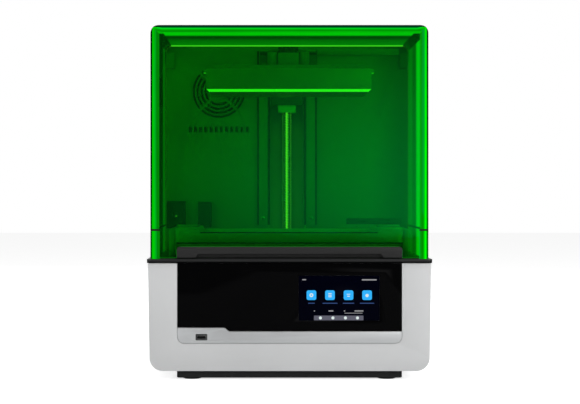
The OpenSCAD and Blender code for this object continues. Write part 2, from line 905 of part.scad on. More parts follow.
// Solid outline of the rear housing, narrowed by t on its closed sides
module house_shape(t) {
    w = house_w / 2 - t;
    back = house_back - t;
    top = house_top - t;
    r = house_r - t;
    front = house_front - (t > 0 ? 1 : 0);
    low = deck_top - (t > 0 ? 1 : 0);
    intersection() {
        along_z(low, top) {
            translate([-w, front]) square([2 * w, back - r - front]);
            translate([-w + r, front]) square([2 * (w - r), back - front]);
            for (x = [-1, 1]) translate([x * (w - r), back - r]) circle(r);
        }
        along_x(-w, w) {
            translate([front, low]) square([back - r - front, top - low]);
            translate([front, low]) square([back - front, top - r - low]);
            translate([back - r, top - r]) circle(r);
        }
        along_y(front, back) house_front_view(t);
    }
}

module rear_cover() color([0.78, 0.79, 0.8]) difference() {
    vent_x = 95;
    vent_low = 270;
    vent_gap = 60;
    house_shape(0);
    house_shape(house_t);
    along_y(house_back - house_t - 1, house_back + 1) for (x = [-1, 1], row = [0, 1])
        translate([x * vent_x, vent_low + row * vent_gap]) slot_row(14, 44);
    for (x = [-1, 1]) translate([x * house_w / 2, hinge_y, hinge_z])
        rotate([0, 90, 0]) cylinder(r = hinge_r + 0.6, h = 12, center = true);
}

module heater_fan_frame() color([0.1, 0.1, 0.11])
    translate([heater_x, house_front + heater_fan_t, heater_z]) rotate([90, 0, 0])
        fan_frame(heater_fan, heater_fan_t);

module heater_fan_rotor() color([0.16, 0.16, 0.17])
    translate([heater_x, house_front + heater_fan_t, heater_z]) rotate([90, 0, 0])
        fan_rotor(heater_fan, heater_fan_t);

module heater_core() color([0.6, 0.6, 0.58]) along_y(house_front, house_front + 26) {
    core_w = 100;
    core_h = 28;
    bar_h = 4;
    fins = 24;
    fin_t = 1;
    fin_pitch = 4.08;
    translate([heater_x, vent_z]) {
        for (z = [-1, 1]) translate([0, z * (core_h - bar_h) / 2]) square([core_w, bar_h], center = true);
        for (i = [0 : fins - 1])
            translate([(i - (fins - 1) / 2) * fin_pitch, 0]) square([fin_t, core_h - bar_h], center = true);
    }
}

module carbon_filter() color([0.07, 0.07, 0.07]) translate([outlet_x, 0, outlet_z]) {
    depth = 30;
    height = 26;
    along_y(back_y + 0.8, house_front) square([outlet_w - 2 * SKIN, outlet_h - 2 * SKIN], center = true);
    along_y(house_front, house_front + depth) square([outlet_w + 8, height], center = true);
}

module camera_pod() color([0.07, 0.07, 0.07]) {
    z0 = 202;
    z1 = 244;
    eye_x = -172.5;
    eye_z = 222;
    eye_r = 5;
    front = 86;
    bezel = 2;
    difference() {
        span([-186, front, z0], [-157, back_y, z1]);
        translate([eye_x, front, eye_z]) rotate([-90, 0, 0]) cylinder(r = eye_r + bezel, h = 3);
    }
    translate([eye_x, front + 1, eye_z]) rotate([-90, 0, 0]) cylinder(r = eye_r, h = 3);
    span([-158, front + 15, z0], [-137, back_y, z1]);
    span([-138, front + 10, z0 + 1.5], [-117, back_y, z1 - 1.5]);
}

module chamber_light() color([0.85, 0.86, 0.88])
    span([47, 101, 471], [173.5, back_y, 480]);

// ---- vat ----

module film_screw_spots() {
    edge = 6;
    pitch = 44;
    for (x = [-2.5 : 2.5], y = [-1, 1]) translate([x * pitch, plate_y + y * (ring_d / 2 - edge)]) children();
    for (x = [-1, 1], y = [-1 : 1]) translate([x * (ring_w / 2 - edge), plate_y + y * pitch]) children();
}

module vat_frame() color([0.68, 0.69, 0.7]) difference() {
    lead_in = 4;
    pocket = [20, 76];
    pocket_y = 52;
    pocket_h = 32;
    intersection() {
        along_y(plate_y - vat_d / 2, plate_y + vat_d / 2) polygon([
            [-vat_w / 2, vat_z0], [vat_w / 2, vat_z0], [vat_w / 2, wing_z1],
            [vat_in_w / 2 + lead_in, wing_z1], [vat_in_w / 2, vat_z1],
            [-vat_in_w / 2, vat_z1], [-vat_in_w / 2 - lead_in, wing_z1], [-vat_w / 2, wing_z1]
        ]);
        translate([0, plate_y, 0]) along_z(vat_z0, wing_z1) round_rect(vat_w, vat_d, vat_r);
    }
    translate([0, plate_y, 0]) along_z(vat_z0 - 1, wing_z1 + 1) round_rect(vat_in_w, vat_in_d, vat_in_r);
    both_sides() {
        for (y = [-1, 1]) translate([lock_x, plate_y + y * pocket_y, vat_z0 - 1])
            linear_extrude(pocket_h) square(pocket, center = true);
        translate([lock_x, plate_y, vat_z0 - 1]) cylinder(r = stem_r + RUN, h = 60);
    }
    translate([0, 0, vat_z0 - 1]) film_screw_spots() cylinder(r = film_bolt_r, h = 9);
}

module vat_film() color([0.8, 0.85, 0.9]) translate([0, 0, ring_z0 + ring_t]) linear_extrude(film_t)
    difference() {
        translate([0, plate_y]) round_rect(ring_w, ring_d, vat_r);
        film_screw_spots() circle(film_bolt_r);
    }

module film_ring() color([0.6, 0.61, 0.62]) difference() {
    along_z(ring_z0, ring_z0 + ring_t) translate([0, plate_y]) difference() {
        round_rect(ring_w, ring_d, vat_r);
        round_rect(ring_in_w, ring_in_d, 6);
    }
    translate([0, 0, ring_z0 - 1]) film_screw_spots() {
        cylinder(r = film_bolt_r, h = 6);
        cylinder(r = film_head_r, h = 2.6);
    }
}

module film_screws() color([0.75, 0.75, 0.75]) translate([0, 0, ring_z0 + 0.2]) film_screw_spots() {
    cylinder(r = film_head_r, h = 1.4);
    cylinder(r = film_bolt_r, h = 10);
}

module vat_rails() color([0.55, 0.56, 0.57]) both_sides()
    translate([vat_w / 2 + rail_gap, plate_y - vat_rail_l / 2, deck_top])
        cube([vat_rail_w, vat_rail_l, vat_rail_z1 - deck_top]);

module vat_lock() translate([lock_x, plate_y, 0]) {
    along_z(wing_z1 + 0.2, wing_z1 + lock_h) round_rect(lock_l, lock_w, lock_w / 2 - 0.1);
    along_z(body_z1 + 0.5, wing_z1 + 1.5) circle(stem_r);
}

module vat_lock_right() color([0.12, 0.12, 0.12]) vat_lock();

module vat_lock_left() color([0.12, 0.12, 0.12]) mirror([1, 0, 0]) vat_lock();

// ---- lid ----

// The lid's solid outline, narrowed by t and left open to the back and below
module lid_shape(t) {
    w = lid_w / 2 - t;
    front = lid_front + t;
    top = lid_top - t;
    rc = lid_corner_r - t;
    re = lid_edge_r - t;
    back = lid_back + (t > 0 ? 1 : 0);
    low = deck_top - (t > 0 ? 2 : 0);
    intersection() {
        along_z(low, top) {
            translate([-w, front + rc]) square([2 * w, back - front - rc]);
            translate([-w + rc, front]) square([2 * (w - rc), back - front]);
            for (x = [-1, 1]) translate([x * (w - rc), front + rc]) circle(rc);
        }
        along_y(front, back) {
            translate([-w, low]) square([2 * w, top - re - low]);
            translate([-w + re, low]) square([2 * (w - re), top - low]);
            for (x = [-1, 1]) translate([x * (w - re), top - re]) circle(re);
        }
        along_x(-w, w) {
            translate([front, low]) square([back - front, top - re - low]);
            translate([front + re, low]) square([back - front - re, top - low]);
            translate([front + re, top - re]) circle(re);
        }
    }
}

// The strip along each side that the fixed guards fill
module guard_zone(inner, z1) {
    both_sides() span([inner, lid_front - 1, deck_top - 1], [lid_w / 2 + 1, lid_back + 1, z1]);
}

module lid_ear() along_x(lid_w / 2 - lid_t, lid_w / 2) {
    translate([hinge_y, hinge_z]) circle(ear_r);
    translate([lid_back - 8, hinge_z - ear_r]) square([hinge_y - lid_back + 8, 2 * ear_r]);
}

module lid() color([0.0, 0.5, 0.08, 0.5]) difference() {
    union() {
        difference() {
            lid_shape(0);
            lid_shape(lid_t);
        }
        both_sides() lid_ear();
    }
    guard_zone(guard_x, lid_side_z);
    along_y(lid_front - 1, lid_front + lid_t + 1) {
        translate([-lid_w, deck_top - 2]) square([2 * lid_w, lid_foot_z - deck_top + 2]);
        translate([0, deck_top])
            round_rect(handle_w + 2 * SKIN, 2 * (handle_z1 + SKIN - deck_top), handle_r);
    }
    for (x = [-1, 1]) translate([x * lid_w / 2, hinge_y, hinge_z])
        rotate([0, 90, 0]) cylinder(r = hinge_r + RUN, h = 20, center = true);
}

// One fixed guard below the lid's side wall
module side_guard() difference() {
    lid_shape(0);
    lid_shape(lid_t);
    span([-lid_w, lid_front - 1, guard_z1], [lid_w, lid_back + 1, lid_top + 1]);
    span([-lid_w, lid_front - 1, deck_top - 1], [guard_x + 0.4, lid_back + 1, lid_top + 1]);
}

module side_guard_right() color([0.0, 0.5, 0.08, 0.5]) side_guard();

module side_guard_left() color([0.0, 0.5, 0.08, 0.5]) mirror([1, 0, 0]) side_guard();

module lid_seal() color([0.05, 0.05, 0.05])
    span([-guard_x + 1, lid_front, deck_top], [guard_x - 1, lid_front + lid_t, deck_top + 1.2]);

module lid_handle() color([0.18, 0.18, 0.18]) difference() {
    z0 = lid_foot_z + 0.2;
    inner = lid_front + lid_t;
    flange_t = 3;
    finger_slope = 4;
    finger_depth = 5.5;
    union() {
        intersection() {
            along_y(handle_front, inner)
                translate([0, deck_top]) round_rect(handle_w, 2 * (handle_z1 - deck_top), handle_r - SKIN);
            span([-handle_w, handle_front - 1, z0], [handle_w, 0, handle_z1 + 1]);
        }
        span([-flange_w / 2, inner, z0 + 4], [flange_w / 2, inner + flange_t, flange_z1]);
    }
    along_y(handle_front - 1, handle_front + finger_depth) polygon([
        [-finger_w / 2 - finger_slope, z0 - 1], [finger_w / 2 + finger_slope, z0 - 1],
        [finger_w / 2, finger_z1], [-finger_w / 2, finger_z1]
    ]);
}

module lid_damper() color([0.05, 0.05, 0.05]) translate([-lid_w / 2 + lid_t, -91, 382]) cube([6, 39, 41]);

module hinge_brackets() color([0.35, 0.36, 0.37]) both_sides() difference() {
    union() {
        span([bracket_x, back_y - cover_t, bracket_z], [house_w / 2, house_front, bracket_top]);
        span([bracket_x - 2.5, house_front, bracket_z + 2],
             [house_w / 2 - house_t, hinge_y + ear_r, bracket_top]);
    }
    translate([bracket_x - 10, hinge_y, hinge_z]) rotate([0, 90, 0]) cylinder(r = hinge_r, h = 50);
}

module hinge_pins() color([0.75, 0.76, 0.78]) both_sides()
    translate([bracket_x - 1, hinge_y, hinge_z]) rotate([0, 90, 0]) {
        length = lid_w / 2 + SKIN - bracket_x + 1;
        head_r = 8;
        head_t = 2.5;
        cylinder(r = hinge_r, h = length + 0.1);
        translate([0, 0, length]) cylinder(r = head_r, h = head_t);
    }

base_housing();
base_plate();
rubber_feet();
deck_plate();
front_panel();
trim_strip();
touch_screen();
usb_socket();
lcd_panel();
lcd_glass();
light_box();
lens_array();
led_board();
heatsink();
led_fan_frame();
led_fan_rotor();
mainboard();
power_supply();
power_inlet();
power_switch();
exhaust_fan_frame();
exhaust_fan_rotor();
z_column();
linear_rail();
z_motor();
screw_bearing();
limit_sensor();
lead_screw();
z_coupler();
carriage_block();
screw_nut();
z_arm();
level_screws();
plate_knob();
build_plate();
plate_cover();
back_panel();
column_covers();
rear_cover();
heater_fan_frame();
heater_fan_rotor();
heater_core();
carbon_filter();
camera_pod();
chamber_light();
vat_frame();
vat_film();
film_ring();
film_screws();
vat_rails();
vat_lock_left();
vat_lock_right();
side_guard_left();
side_guard_right();
lid_seal();
hinge_brackets();
hinge_pins();
lid();
lid_handle();
lid_damper();
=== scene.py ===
import json
import math

import bmesh
import bpy
from mathutils import Matrix, Vector


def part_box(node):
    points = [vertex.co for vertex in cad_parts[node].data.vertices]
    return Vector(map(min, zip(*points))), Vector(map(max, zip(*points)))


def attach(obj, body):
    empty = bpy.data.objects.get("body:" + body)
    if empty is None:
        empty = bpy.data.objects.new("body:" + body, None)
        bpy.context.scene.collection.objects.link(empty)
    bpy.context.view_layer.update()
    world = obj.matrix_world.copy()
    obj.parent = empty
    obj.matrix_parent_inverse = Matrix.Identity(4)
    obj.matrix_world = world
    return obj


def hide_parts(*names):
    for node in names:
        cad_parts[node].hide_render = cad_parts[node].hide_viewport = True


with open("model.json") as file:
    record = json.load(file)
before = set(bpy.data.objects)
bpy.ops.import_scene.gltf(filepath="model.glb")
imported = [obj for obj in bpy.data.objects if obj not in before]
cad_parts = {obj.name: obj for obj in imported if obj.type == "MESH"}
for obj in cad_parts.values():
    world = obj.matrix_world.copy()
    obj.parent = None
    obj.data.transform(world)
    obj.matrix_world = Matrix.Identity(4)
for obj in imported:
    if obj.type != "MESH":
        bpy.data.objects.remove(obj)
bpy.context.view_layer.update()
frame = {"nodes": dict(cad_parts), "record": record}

MM = 0.001
RECORD = frame["record"]
NODES = frame["nodes"]
BODY_OF = {n: body for body, names in RECORD["behaviour"]["bodies"].items() for n in names}
SLOT_OF = {s["node"]: s["material_slot"] for s in RECORD["subparts"]}


# ---- shader helpers ----

def put(tree, kind, settings=None, **inputs):
    """Adds a shader node. A socket given as an input is linked; anything else is set as its value."""
    n = tree.nodes.new("ShaderNode" + kind)
    for key, value in (settings or {}).items():
        setattr(n, key, value)
    for key, value in inputs.items():
        socket = n.inputs[key.replace("_", " ")]
        if isinstance(value, bpy.types.NodeSocket):
            tree.links.new(value, socket)
        else:
            socket.default_value = value
    return n


def new_material(name):
    """An empty material and its node tree."""
    m = bpy.data.materials.new(name)
    m.use_nodes = True
    m.node_tree.nodes.clear()
    return m, m.node_tree


def output(tree, shader):
    """Shows the shader on the surface."""
    put(tree, "OutputMaterial", Surface=shader)


def noise(tree, scale, detail=3, stretch=(1, 1, 1)):
    """Noise fixed to the object, in the object's own metres."""
    where = put(tree, "TexCoord").outputs["Object"]
    where = put(tree, "Mapping", Vector=where, Scale=stretch).outputs["Vector"]
    return put(tree, "TexNoise", Vector=where, Scale=scale, Detail=detail).outputs["Fac"]


def spread(tree, value, low, high):
    """Stretches the middle of a noise to the range low to high."""
    return put(tree, "MapRange", Value=value, From_Min=0.3, From_Max=0.7,
               To_Min=low, To_Max=high).outputs["Result"]


def varied(tree, colour, amount, scale=11):
    """The colour, a little lighter and darker from place to place."""
    tint = spread(tree, noise(tree, scale, detail=4), 1 - amount, 1 + amount)
    return put(tree, "MixRGB", {"blend_type": "MULTIPLY"}, Fac=1, Color1=(*colour, 1),
               Color2=tint).outputs["Color"]


def calc(tree, operation, one, two=0.0):
    """One step of arithmetic on sockets or numbers."""
    n = tree.nodes.new("ShaderNodeMath")
    n.operation = operation
    for socket, value in zip(n.inputs, (one, two)):
        if isinstance(value, bpy.types.NodeSocket):
            tree.links.new(value, socket)
        else:
            socket.default_value = value
    return n.outputs[0]


def coordinate(tree, node, vector, axis):
    """One axis of a vector that a kind of node gives out."""
    source = put(tree, node).outputs[vector]
    return put(tree, "SeparateXYZ", Vector=source).outputs[axis]


def surface(name, colour, rough, metal=0.0, vary=0.05, rough_vary=0.06, grain=1400, bump=0.05,
            stretch=(1, 1, 1), **extra):
    """A finish: coarse noise varies its colour and roughness, and fine noise gives its texture."""
    m, tree = new_material(name)
    height = noise(tree, grain, stretch=stretch)
    normal = put(tree, "Bump", Strength=bump, Distance=0.3 * MM, Height=height).outputs["Normal"]
    patches = noise(tree, scale=17, detail=5, stretch=stretch)
    shine = spread(tree, patches, rough - rough_vary, rough + rough_vary)
    shader = put(tree, "BsdfPrincipled", Base_Color=varied(tree, colour, vary), Metallic=metal,
                 Roughness=shine, Normal=normal, **extra)
    output(tree, shader.outputs["BSDF"])
    return m


SHADE_START = 120 * MM               # painted shade on a finish's right-hand side starts here, right of the middle,
SHADE_FULL = 185 * MM                # and is full here


def painted_side_shade(tree, amount):
    """A factor of 1 that falls by the amount towards the right-hand side of the machine: painted shade."""
    where_x = coordinate(tree, "TexCoord", "Object", "X")
    return put(tree, "MapRange", {"interpolation_type": "SMOOTHSTEP"}, Value=where_x, From_Min=SHADE_START,
               From_Max=SHADE_FULL, To_Min=1.0, To_Max=1.0 - amount).outputs["Result"]


def powder_coat(name, colour, rough, vary=0.025, painted_shade_right=0.0, **extra):
    """Baked paint: a shallow orange-peel skin, lighter where an edge is worn.

    The argument for the right-hand side is the share of its colour that it loses towards the right-hand side
    of the machine: painted shade from the side wall.
    """
    m, tree = new_material(name)
    peel = noise(tree, scale=420, detail=2)
    fine = noise(tree, scale=2600, detail=2)
    height = calc(tree, "ADD", peel, fine)
    normal = put(tree, "Bump", Strength=0.08, Distance=0.25 * MM, Height=height).outputs["Normal"]
    edge = put(tree, "NewGeometry").outputs["Pointiness"]
    wear = put(tree, "MapRange", Value=edge, From_Min=0.53, From_Max=0.6, To_Min=0.0,
               To_Max=0.25).outputs["Result"]
    worn = tuple(min(1.0, c * 1.25 + 0.02) for c in colour)
    base = put(tree, "MixRGB", Fac=wear, Color1=varied(tree, colour, vary),
               Color2=(*worn, 1)).outputs["Color"]
    # painted shade: the colour darkens towards the right-hand side of the machine
    if painted_shade_right:
        base = put(tree, "MixRGB", {"blend_type": "MULTIPLY"}, Fac=1, Color1=base,
                   Color2=painted_side_shade(tree, painted_shade_right)).outputs["Color"]
    shine = spread(tree, noise(tree, scale=14, detail=4), rough - 0.05, rough + 0.05)
    shader = put(tree, "BsdfPrincipled", Base_Color=base, Roughness=shine, Normal=normal, **extra)
    output(tree, shader.outputs["BSDF"])
    return m


def ramp(tree, value, stops):
    """A colour ramp with stops given in order as (position, colour)."""
    n = put(tree, "ValToRGB", Fac=value)
    elements = n.color_ramp.elements
    for i, (place, colour) in ((0, stops[0]), (1, stops[-1])):
        elements[i].position = place
        elements[i].color = (*colour, 1)
    for place, colour in stops[1:-1]:
        elements.new(place).color = (*colour, 1)
    return n.outputs["Color"]


def mixed(tree, fac, one, two):
    """Shader one, with shader two over it by the factor."""
    n = put(tree, "MixShader", Fac=fac)
    tree.links.new(one, n.inputs[1])
    tree.links.new(two, n.inputs[2])
    return n.outputs[0]


TINT = (0.24, 0.84, 0.11)            # light that one surface of a tinted sheet lets through
SHEEN = (0.0, 0.45, 0.13)            # colour of its reflections
MILK = (0.02, 0.75, 0.05)            # colour that it scatters
ACRYLIC_IOR = 1.49
EDGE_TURN = (0.02, 0.24)             # painted light on a rounded edge grows over this much turn away from the front
EDGE_ON = (0.82, 0.90)               # painted light on a wall grows over this range, from seen slantwise to edge on
SKIN_OF_EDGE = 0.045                 # the most that an edge with painted light reflects
SKIN_OF_WALL = 0.06                  # the most that a wall with painted light reflects


def acrylic(name, tint=TINT, sheen=SHEEN, haze=0.012, painted_edge_light=None, painted_wall_light=None, opaque=0.0):
    """Clear tinted sheet. tint is what one surface lets through and haze is the share that it scatters.

    The ramp for a rounded edge is painted light and painted dark outlines, given as emission from facing
    forwards or backwards to facing sideways.
    The ramp for a wall is painted light, given as emission from the front to the back of a wall, seen only
    where it is looked along.
    opaque is how much of what lies behind the painted light hides.
    """
    m, tree = new_material(name)
    ripple = noise(tree, scale=26, detail=2)
    normal = put(tree, "Bump", Strength=0.04, Distance=1 * MM, Height=ripple).outputs["Normal"]
    body = put(tree, "BsdfTransparent", Color=(*tint, 1)).outputs["BSDF"]
    milk = put(tree, "BsdfDiffuse", Color=(*MILK, 1)).outputs["BSDF"]
    cloud = spread(tree, noise(tree, scale=19, detail=5), haze * 0.6, haze * 1.4)
    body = mixed(tree, cloud, body, milk)
    live = spread(tree, noise(tree, scale=24, detail=4), 0.95, 1.05)
    if painted_edge_light:
        facing_y = coordinate(tree, "TexCoord", "Normal", "Y")
        away = calc(tree, "SQRT", calc(tree, "SUBTRACT", 1.0, calc(tree, "MULTIPLY", facing_y, facing_y)))
        # painted light: an emission ramp over the edge's turn gives bright bands and dark outlines
        light = put(tree, "Emission", Color=ramp(tree, away, painted_edge_light), Strength=live)
        cover = put(tree, "MapRange", Value=away, From_Min=EDGE_TURN[0], From_Max=EDGE_TURN[1],
                    To_Min=opaque * 0.2, To_Max=opaque).outputs["Result"]
        body = mixed(tree, cover, body, light.outputs["Emission"])
    if painted_wall_light:
        where_y = coordinate(tree, "TexCoord", "Object", "Y")
        low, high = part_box("lid")
        depth = put(tree, "MapRange", Value=where_y, From_Min=low.y, From_Max=high.y).outputs["Result"]
        # painted light: an emission ramp from the front to the back of the wall
        light = put(tree, "Emission", Color=ramp(tree, depth, painted_wall_light), Strength=live)
        along = put(tree, "LayerWeight", Blend=0.5).outputs["Facing"]
        cover = put(tree, "MapRange", Value=along, From_Min=EDGE_ON[0], From_Max=EDGE_ON[1],
                    To_Max=opaque).outputs["Result"]
        body = mixed(tree, cover, body, light.outputs["Emission"])
    shine = put(tree, "BsdfGlossy", Color=(*sheen, 1), Roughness=0.04, Normal=normal).outputs["BSDF"]
    skin = put(tree, "Fresnel", IOR=ACRYLIC_IOR, Normal=normal).outputs["Fac"]
    if painted_wall_light or painted_edge_light:
        skin = calc(tree, "MINIMUM", skin, SKIN_OF_WALL if painted_wall_light else SKIN_OF_EDGE)
    output(tree, mixed(tree, skin, body, shine))
    return m


def lit(name, colour, strength):
    """A shape that glows, such as a mark on the display."""
    m, tree = new_material(name)
    cell = spread(tree, noise(tree, scale=5200, detail=1), strength * 0.9, strength * 1.1)
    shader = put(tree, "BsdfPrincipled", Base_Color=(0.0, 0.0, 0.0, 1), Roughness=0.2,
                 Emission_Color=(*colour, 1), Emission_Strength=cell)
    output(tree, shader.outputs["BSDF"])
    return m


def painted_reflection_bands(name, colour, stops):
    """Polished round bar with painted reflections: glowing bands run along it, placed by the way its skin
    faces in the room.
    """
    m, tree = new_material(name)
    across = coordinate(tree, "NewGeometry", "Normal", "X")
    place = put(tree, "MapRange", Value=across, From_Min=-1.0, From_Max=1.0).outputs["Result"]
    shine = spread(tree, noise(tree, scale=30, detail=4), 0.22, 0.34)
    live = spread(tree, noise(tree, scale=60), 0.94, 1.06)
    shader = put(tree, "BsdfPrincipled", Base_Color=varied(tree, colour, 0.05), Metallic=1.0,
                 Roughness=shine, Emission_Color=ramp(tree, place, stops), Emission_Strength=live)
    output(tree, shader.outputs["BSDF"])
    return m


def grey(*pairs):
    """Stops of a grey ramp, given as (position, brightness)."""
    return [(place, (bright, bright, bright)) for place, bright in pairs]


# ---- finishes, one for each slot of the record ----

FINISH = {
    "cabinet_grey": powder_coat("cabinet_grey", (0.59, 0.595, 0.60), 0.42),
    "plinth_black": powder_coat("plinth_black", (0.017, 0.0175, 0.0175), 0.6, Specular_IOR_Level=0.08),
    "deck_dark": powder_coat("deck_dark", (0.013, 0.0135, 0.014), 0.45, Specular_IOR_Level=0.25),
    "arm_dark": powder_coat("arm_dark", (0.045, 0.047, 0.05), 0.45),
    # the panel finish carries painted shade on its right-hand side
    "panel_grey": powder_coat("panel_grey", (0.19, 0.195, 0.20), 0.5, painted_shade_right=0.75),
    "cover_grey": powder_coat("cover_grey", (0.12, 0.123, 0.127), 0.5),
    "rubber": surface("rubber", (0.010, 0.010, 0.010), 0.8, grain=2200, bump=0.25,
                      Specular_IOR_Level=0.15),
    "gloss_black": surface("gloss_black", (0.0012, 0.0012, 0.0014), 0.07, rough_vary=0.02, bump=0.004,
                           grain=90, Specular_IOR_Level=0.03),
    "silver_trim": surface("silver_trim", (0.54, 0.55, 0.56), 0.42, metal=0.5, grain=3200, bump=0.06),
    "screen_glass": surface("screen_glass", (0.0004, 0.0006, 0.004), 0.06, rough_vary=0.02, bump=0.003,
                            grain=60, Specular_IOR_Level=0.012),
    "steel_bright": surface("steel_bright", (0.56, 0.57, 0.58), 0.24, metal=1, grain=900, bump=0.04),
    "screw_steel": surface("screw_steel", (0.50, 0.51, 0.52), 0.2, metal=1, grain=1800, bump=0.05),
    "nut_brass": surface("nut_brass", (0.68, 0.68, 0.66), 0.35, metal=0.3, grain=1500, bump=0.04),
    "lcd_black": surface("lcd_black", (0.004, 0.005, 0.009), 0.05, rough_vary=0.015, bump=0.003, grain=70),
    "light_metal": surface("light_metal", (0.55, 0.56, 0.57), 0.38, metal=1, grain=600, bump=0.05,
                           stretch=(1, 1, 14)),
    "lens_clear": surface("lens_clear", (0.82, 0.86, 0.9), 0.05, rough_vary=0.02, bump=0.01, grain=90,
                          Transmission_Weight=0.85, IOR=ACRYLIC_IOR),
    "board_white": surface("board_white", (0.74, 0.74, 0.71), 0.45, grain=1700, bump=0.05),
    "board_green": surface("board_green", (0.006, 0.10, 0.045), 0.3, vary=0.2, grain=380, bump=0.12,
                           Coat_Weight=0.5),
    "heatsink_alu": surface("heatsink_alu", (0.42, 0.43, 0.44), 0.42, metal=1, grain=500, bump=0.08,
                            stretch=(9, 1, 9)),
    "black_plastic": surface("black_plastic", (0.009, 0.009, 0.010), 0.55, grain=2600, bump=0.22,
                             Specular_IOR_Level=0.3),
    "column_alu": surface("column_alu", (0.33, 0.34, 0.35), 0.4, metal=0.9, grain=700, bump=0.06,
                          stretch=(12, 12, 1)),
    "plate_alu": surface("plate_alu", (0.34, 0.35, 0.36), 0.46, metal=0.75, grain=2400, bump=0.2),
    "light_diffuser": surface("light_diffuser", (0.20, 0.205, 0.21), 0.4, grain=1900, bump=0.05),
    "vat_alu": surface("vat_alu", (0.50, 0.51, 0.52), 0.45, metal=0.2, grain=1900, bump=0.12),
    "film_clear": acrylic("film_clear", tint=(0.93, 0.95, 0.96), sheen=(0.8, 0.8, 0.8), haze=0.0),
    "tinted_green": acrylic("tinted_green"),
    "handle_grey": surface("handle_grey", (0.022, 0.022, 0.022), 0.55, grain=2400, bump=0.15,
                           Specular_IOR_Level=0.15),
}

# painted reflection: the grey stops set the glow of each band across the screw
SCREW_PAINTED_BANDS = painted_reflection_bands("screw_painted_bands", (0.22, 0.22, 0.23), grey(
    (0.0, 0.15), (0.06, 0.15), (0.16, 0.0), (0.36, 0.0), (0.42, 0.75), (0.50, 0.95), (0.58, 0.35),
    (0.64, 0.0), (0.84, 0.02), (0.94, 0.36), (1.0, 0.30)))


def green(*pairs, blue=0.0):
    """Stops of a green ramp, given as (position, brightness), with a share of blue."""
    return [(place, (0.0, bright, bright * blue)) for place, bright in pairs]


# Finishes of the lid and its guards, in the order of the names below the list. Rims, walls, ceiling and cut
# edge carry painted light and painted dark outlines as emission.
SHEETS = [
    FINISH["tinted_green"],
    acrylic("rim_left", haze=0.05, opaque=1.0, painted_edge_light=green(
        (0.0, 0.36), (0.10, 0.30), (0.15, 0.21), (0.24, 0.23), (0.35, 0.36), (0.46, 0.48), (0.56, 0.60),
        (0.68, 0.60), (0.78, 0.46), (0.85, 0.02), (1.0, 0.003))),
    acrylic("rim_right", haze=0.05, opaque=1.0, painted_edge_light=green(
        (0.0, 0.50), (0.14, 0.32), (0.24, 0.26), (0.34, 0.28), (0.44, 0.50), (0.54, 0.95), (0.63, 1.15),
        (0.72, 0.75), (0.80, 0.22), (0.89, 0.04), (1.0, 0.01))),
    acrylic("rim_top", haze=0.05, opaque=1.0, painted_edge_light=green(
        (0.0, 0.64), (0.09, 0.62), (0.19, 0.50), (0.27, 0.24), (0.38, 0.36), (0.49, 0.56), (0.58, 0.70),
        (0.66, 0.12), (0.73, 0.004), (1.0, 0.002))),
    acrylic("rim_side", haze=0.03, opaque=0.92, painted_edge_light=green((0.0, 0.02), (1.0, 0.02))),
    acrylic("wall_left", opaque=0.94, painted_wall_light=green(
        (0.0, 0.40), (0.28, 0.36), (0.38, 0.26), (0.44, 0.04), (0.60, 0.015), (0.70, 0.06), (0.79, 0.24),
        (0.85, 0.06), (0.92, 0.02), (1.0, 0.03))),
    acrylic("wall_right", opaque=0.94, painted_wall_light=green(
        (0.0, 0.50), (0.26, 0.62), (0.40, 0.92), (0.47, 0.62), (0.52, 0.14), (0.64, 0.12), (0.74, 0.24),
        (0.84, 0.19), (0.93, 0.08), (1.0, 0.08), blue=0.13)),
    acrylic("ceiling", opaque=0.94, painted_wall_light=green(
        (0.0, 0.95), (0.37, 0.88), (0.42, 0.24), (0.45, 0.05), (0.52, 0.05), (0.57, 0.09),
        (0.63, 0.17), (0.71, 0.22), (0.83, 0.24), (0.89, 0.32), (1.0, 0.40))),
    # painted glow on the lid's cut rear edge
    acrylic("cut_edge", tint=(0.3, 0.9, 0.02), haze=0.35, opaque=0.75,
            painted_edge_light=[(0.0, (1.6, 1.0, 0.04)), (1.0, (1.6, 1.0, 0.04))]),
    FINISH["rubber"],
]
FRONT, RIM_LEFT, RIM_RIGHT, RIM_TOP, RIM_SIDE, WALL_LEFT, WALL_RIGHT, CEILING, CUT, SEAM = range(10)


# ---- mesh helpers ----

def piece_from(name, bm, materials, body, smooth=32):
    """Makes a bmesh into a piece that rides on a body and takes its finish from a slot."""
    mesh = bpy.data.meshes.new(name)
    bmesh.ops.recalc_face_normals(bm, faces=bm.faces)
    bm.to_mesh(mesh)
    bm.free()
    for m in materials:
        mesh.materials.append(m)
    mesh.shade_smooth()
    mesh.set_sharp_from_angle(angle=math.radians(smooth))
    piece = bpy.data.objects.new(name, mesh)
    bpy.context.scene.collection.objects.link(piece)
    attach(piece, body)
    return piece


def copied(node):
    """A CAD node's shape as a bmesh of whole faces, with no split vertices."""
    bm = bmesh.new()
    bm.from_mesh(NODES[node].data)
    for f in bm.faces:
        f.material_index = 0
    bmesh.ops.remove_doubles(bm, verts=bm.verts, dist=0.002 * MM)
    bmesh.ops.dissolve_limit(bm, angle_limit=math.radians(0.8), verts=bm.verts, edges=bm.edges)
    return bm


def round_edges(bm, width, angle=28):
    """Rounds the edges that are sharper than the angle."""
    sharp = [e for e in bm.edges if e.is_manifold and e.calc_face_angle(0) > math.radians(angle)]
    bmesh.ops.bevel(bm, geom=sharp, offset=width, offset_type="OFFSET", segments=2, profile=0.5,
                    affect="EDGES", clamp_overlap=True)


def cut(bm, point, normal):
    """Splits the faces that cross a plane, so that each side can take its own finish."""
    parts = list(bm.verts) + list(bm.edges) + list(bm.faces)
    bmesh.ops.bisect_plane(bm, geom=parts, plane_co=point, plane_no=normal, dist=0.001 * MM)


def refined(node, width, sort=None, materials=None):
    """Puts a piece with a CAD node's shape and rounded edges in the node's place.

    sort gives each face the number of its finish among the materials.
    """
    bm = copied(node)
    if width:
        round_edges(bm, width)
    if sort:
        sort(bm)
    slot = SLOT_OF[node]
    piece = piece_from(node + "_finish", bm, materials or [FINISH[slot]], BODY_OF[node])
    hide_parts(node)


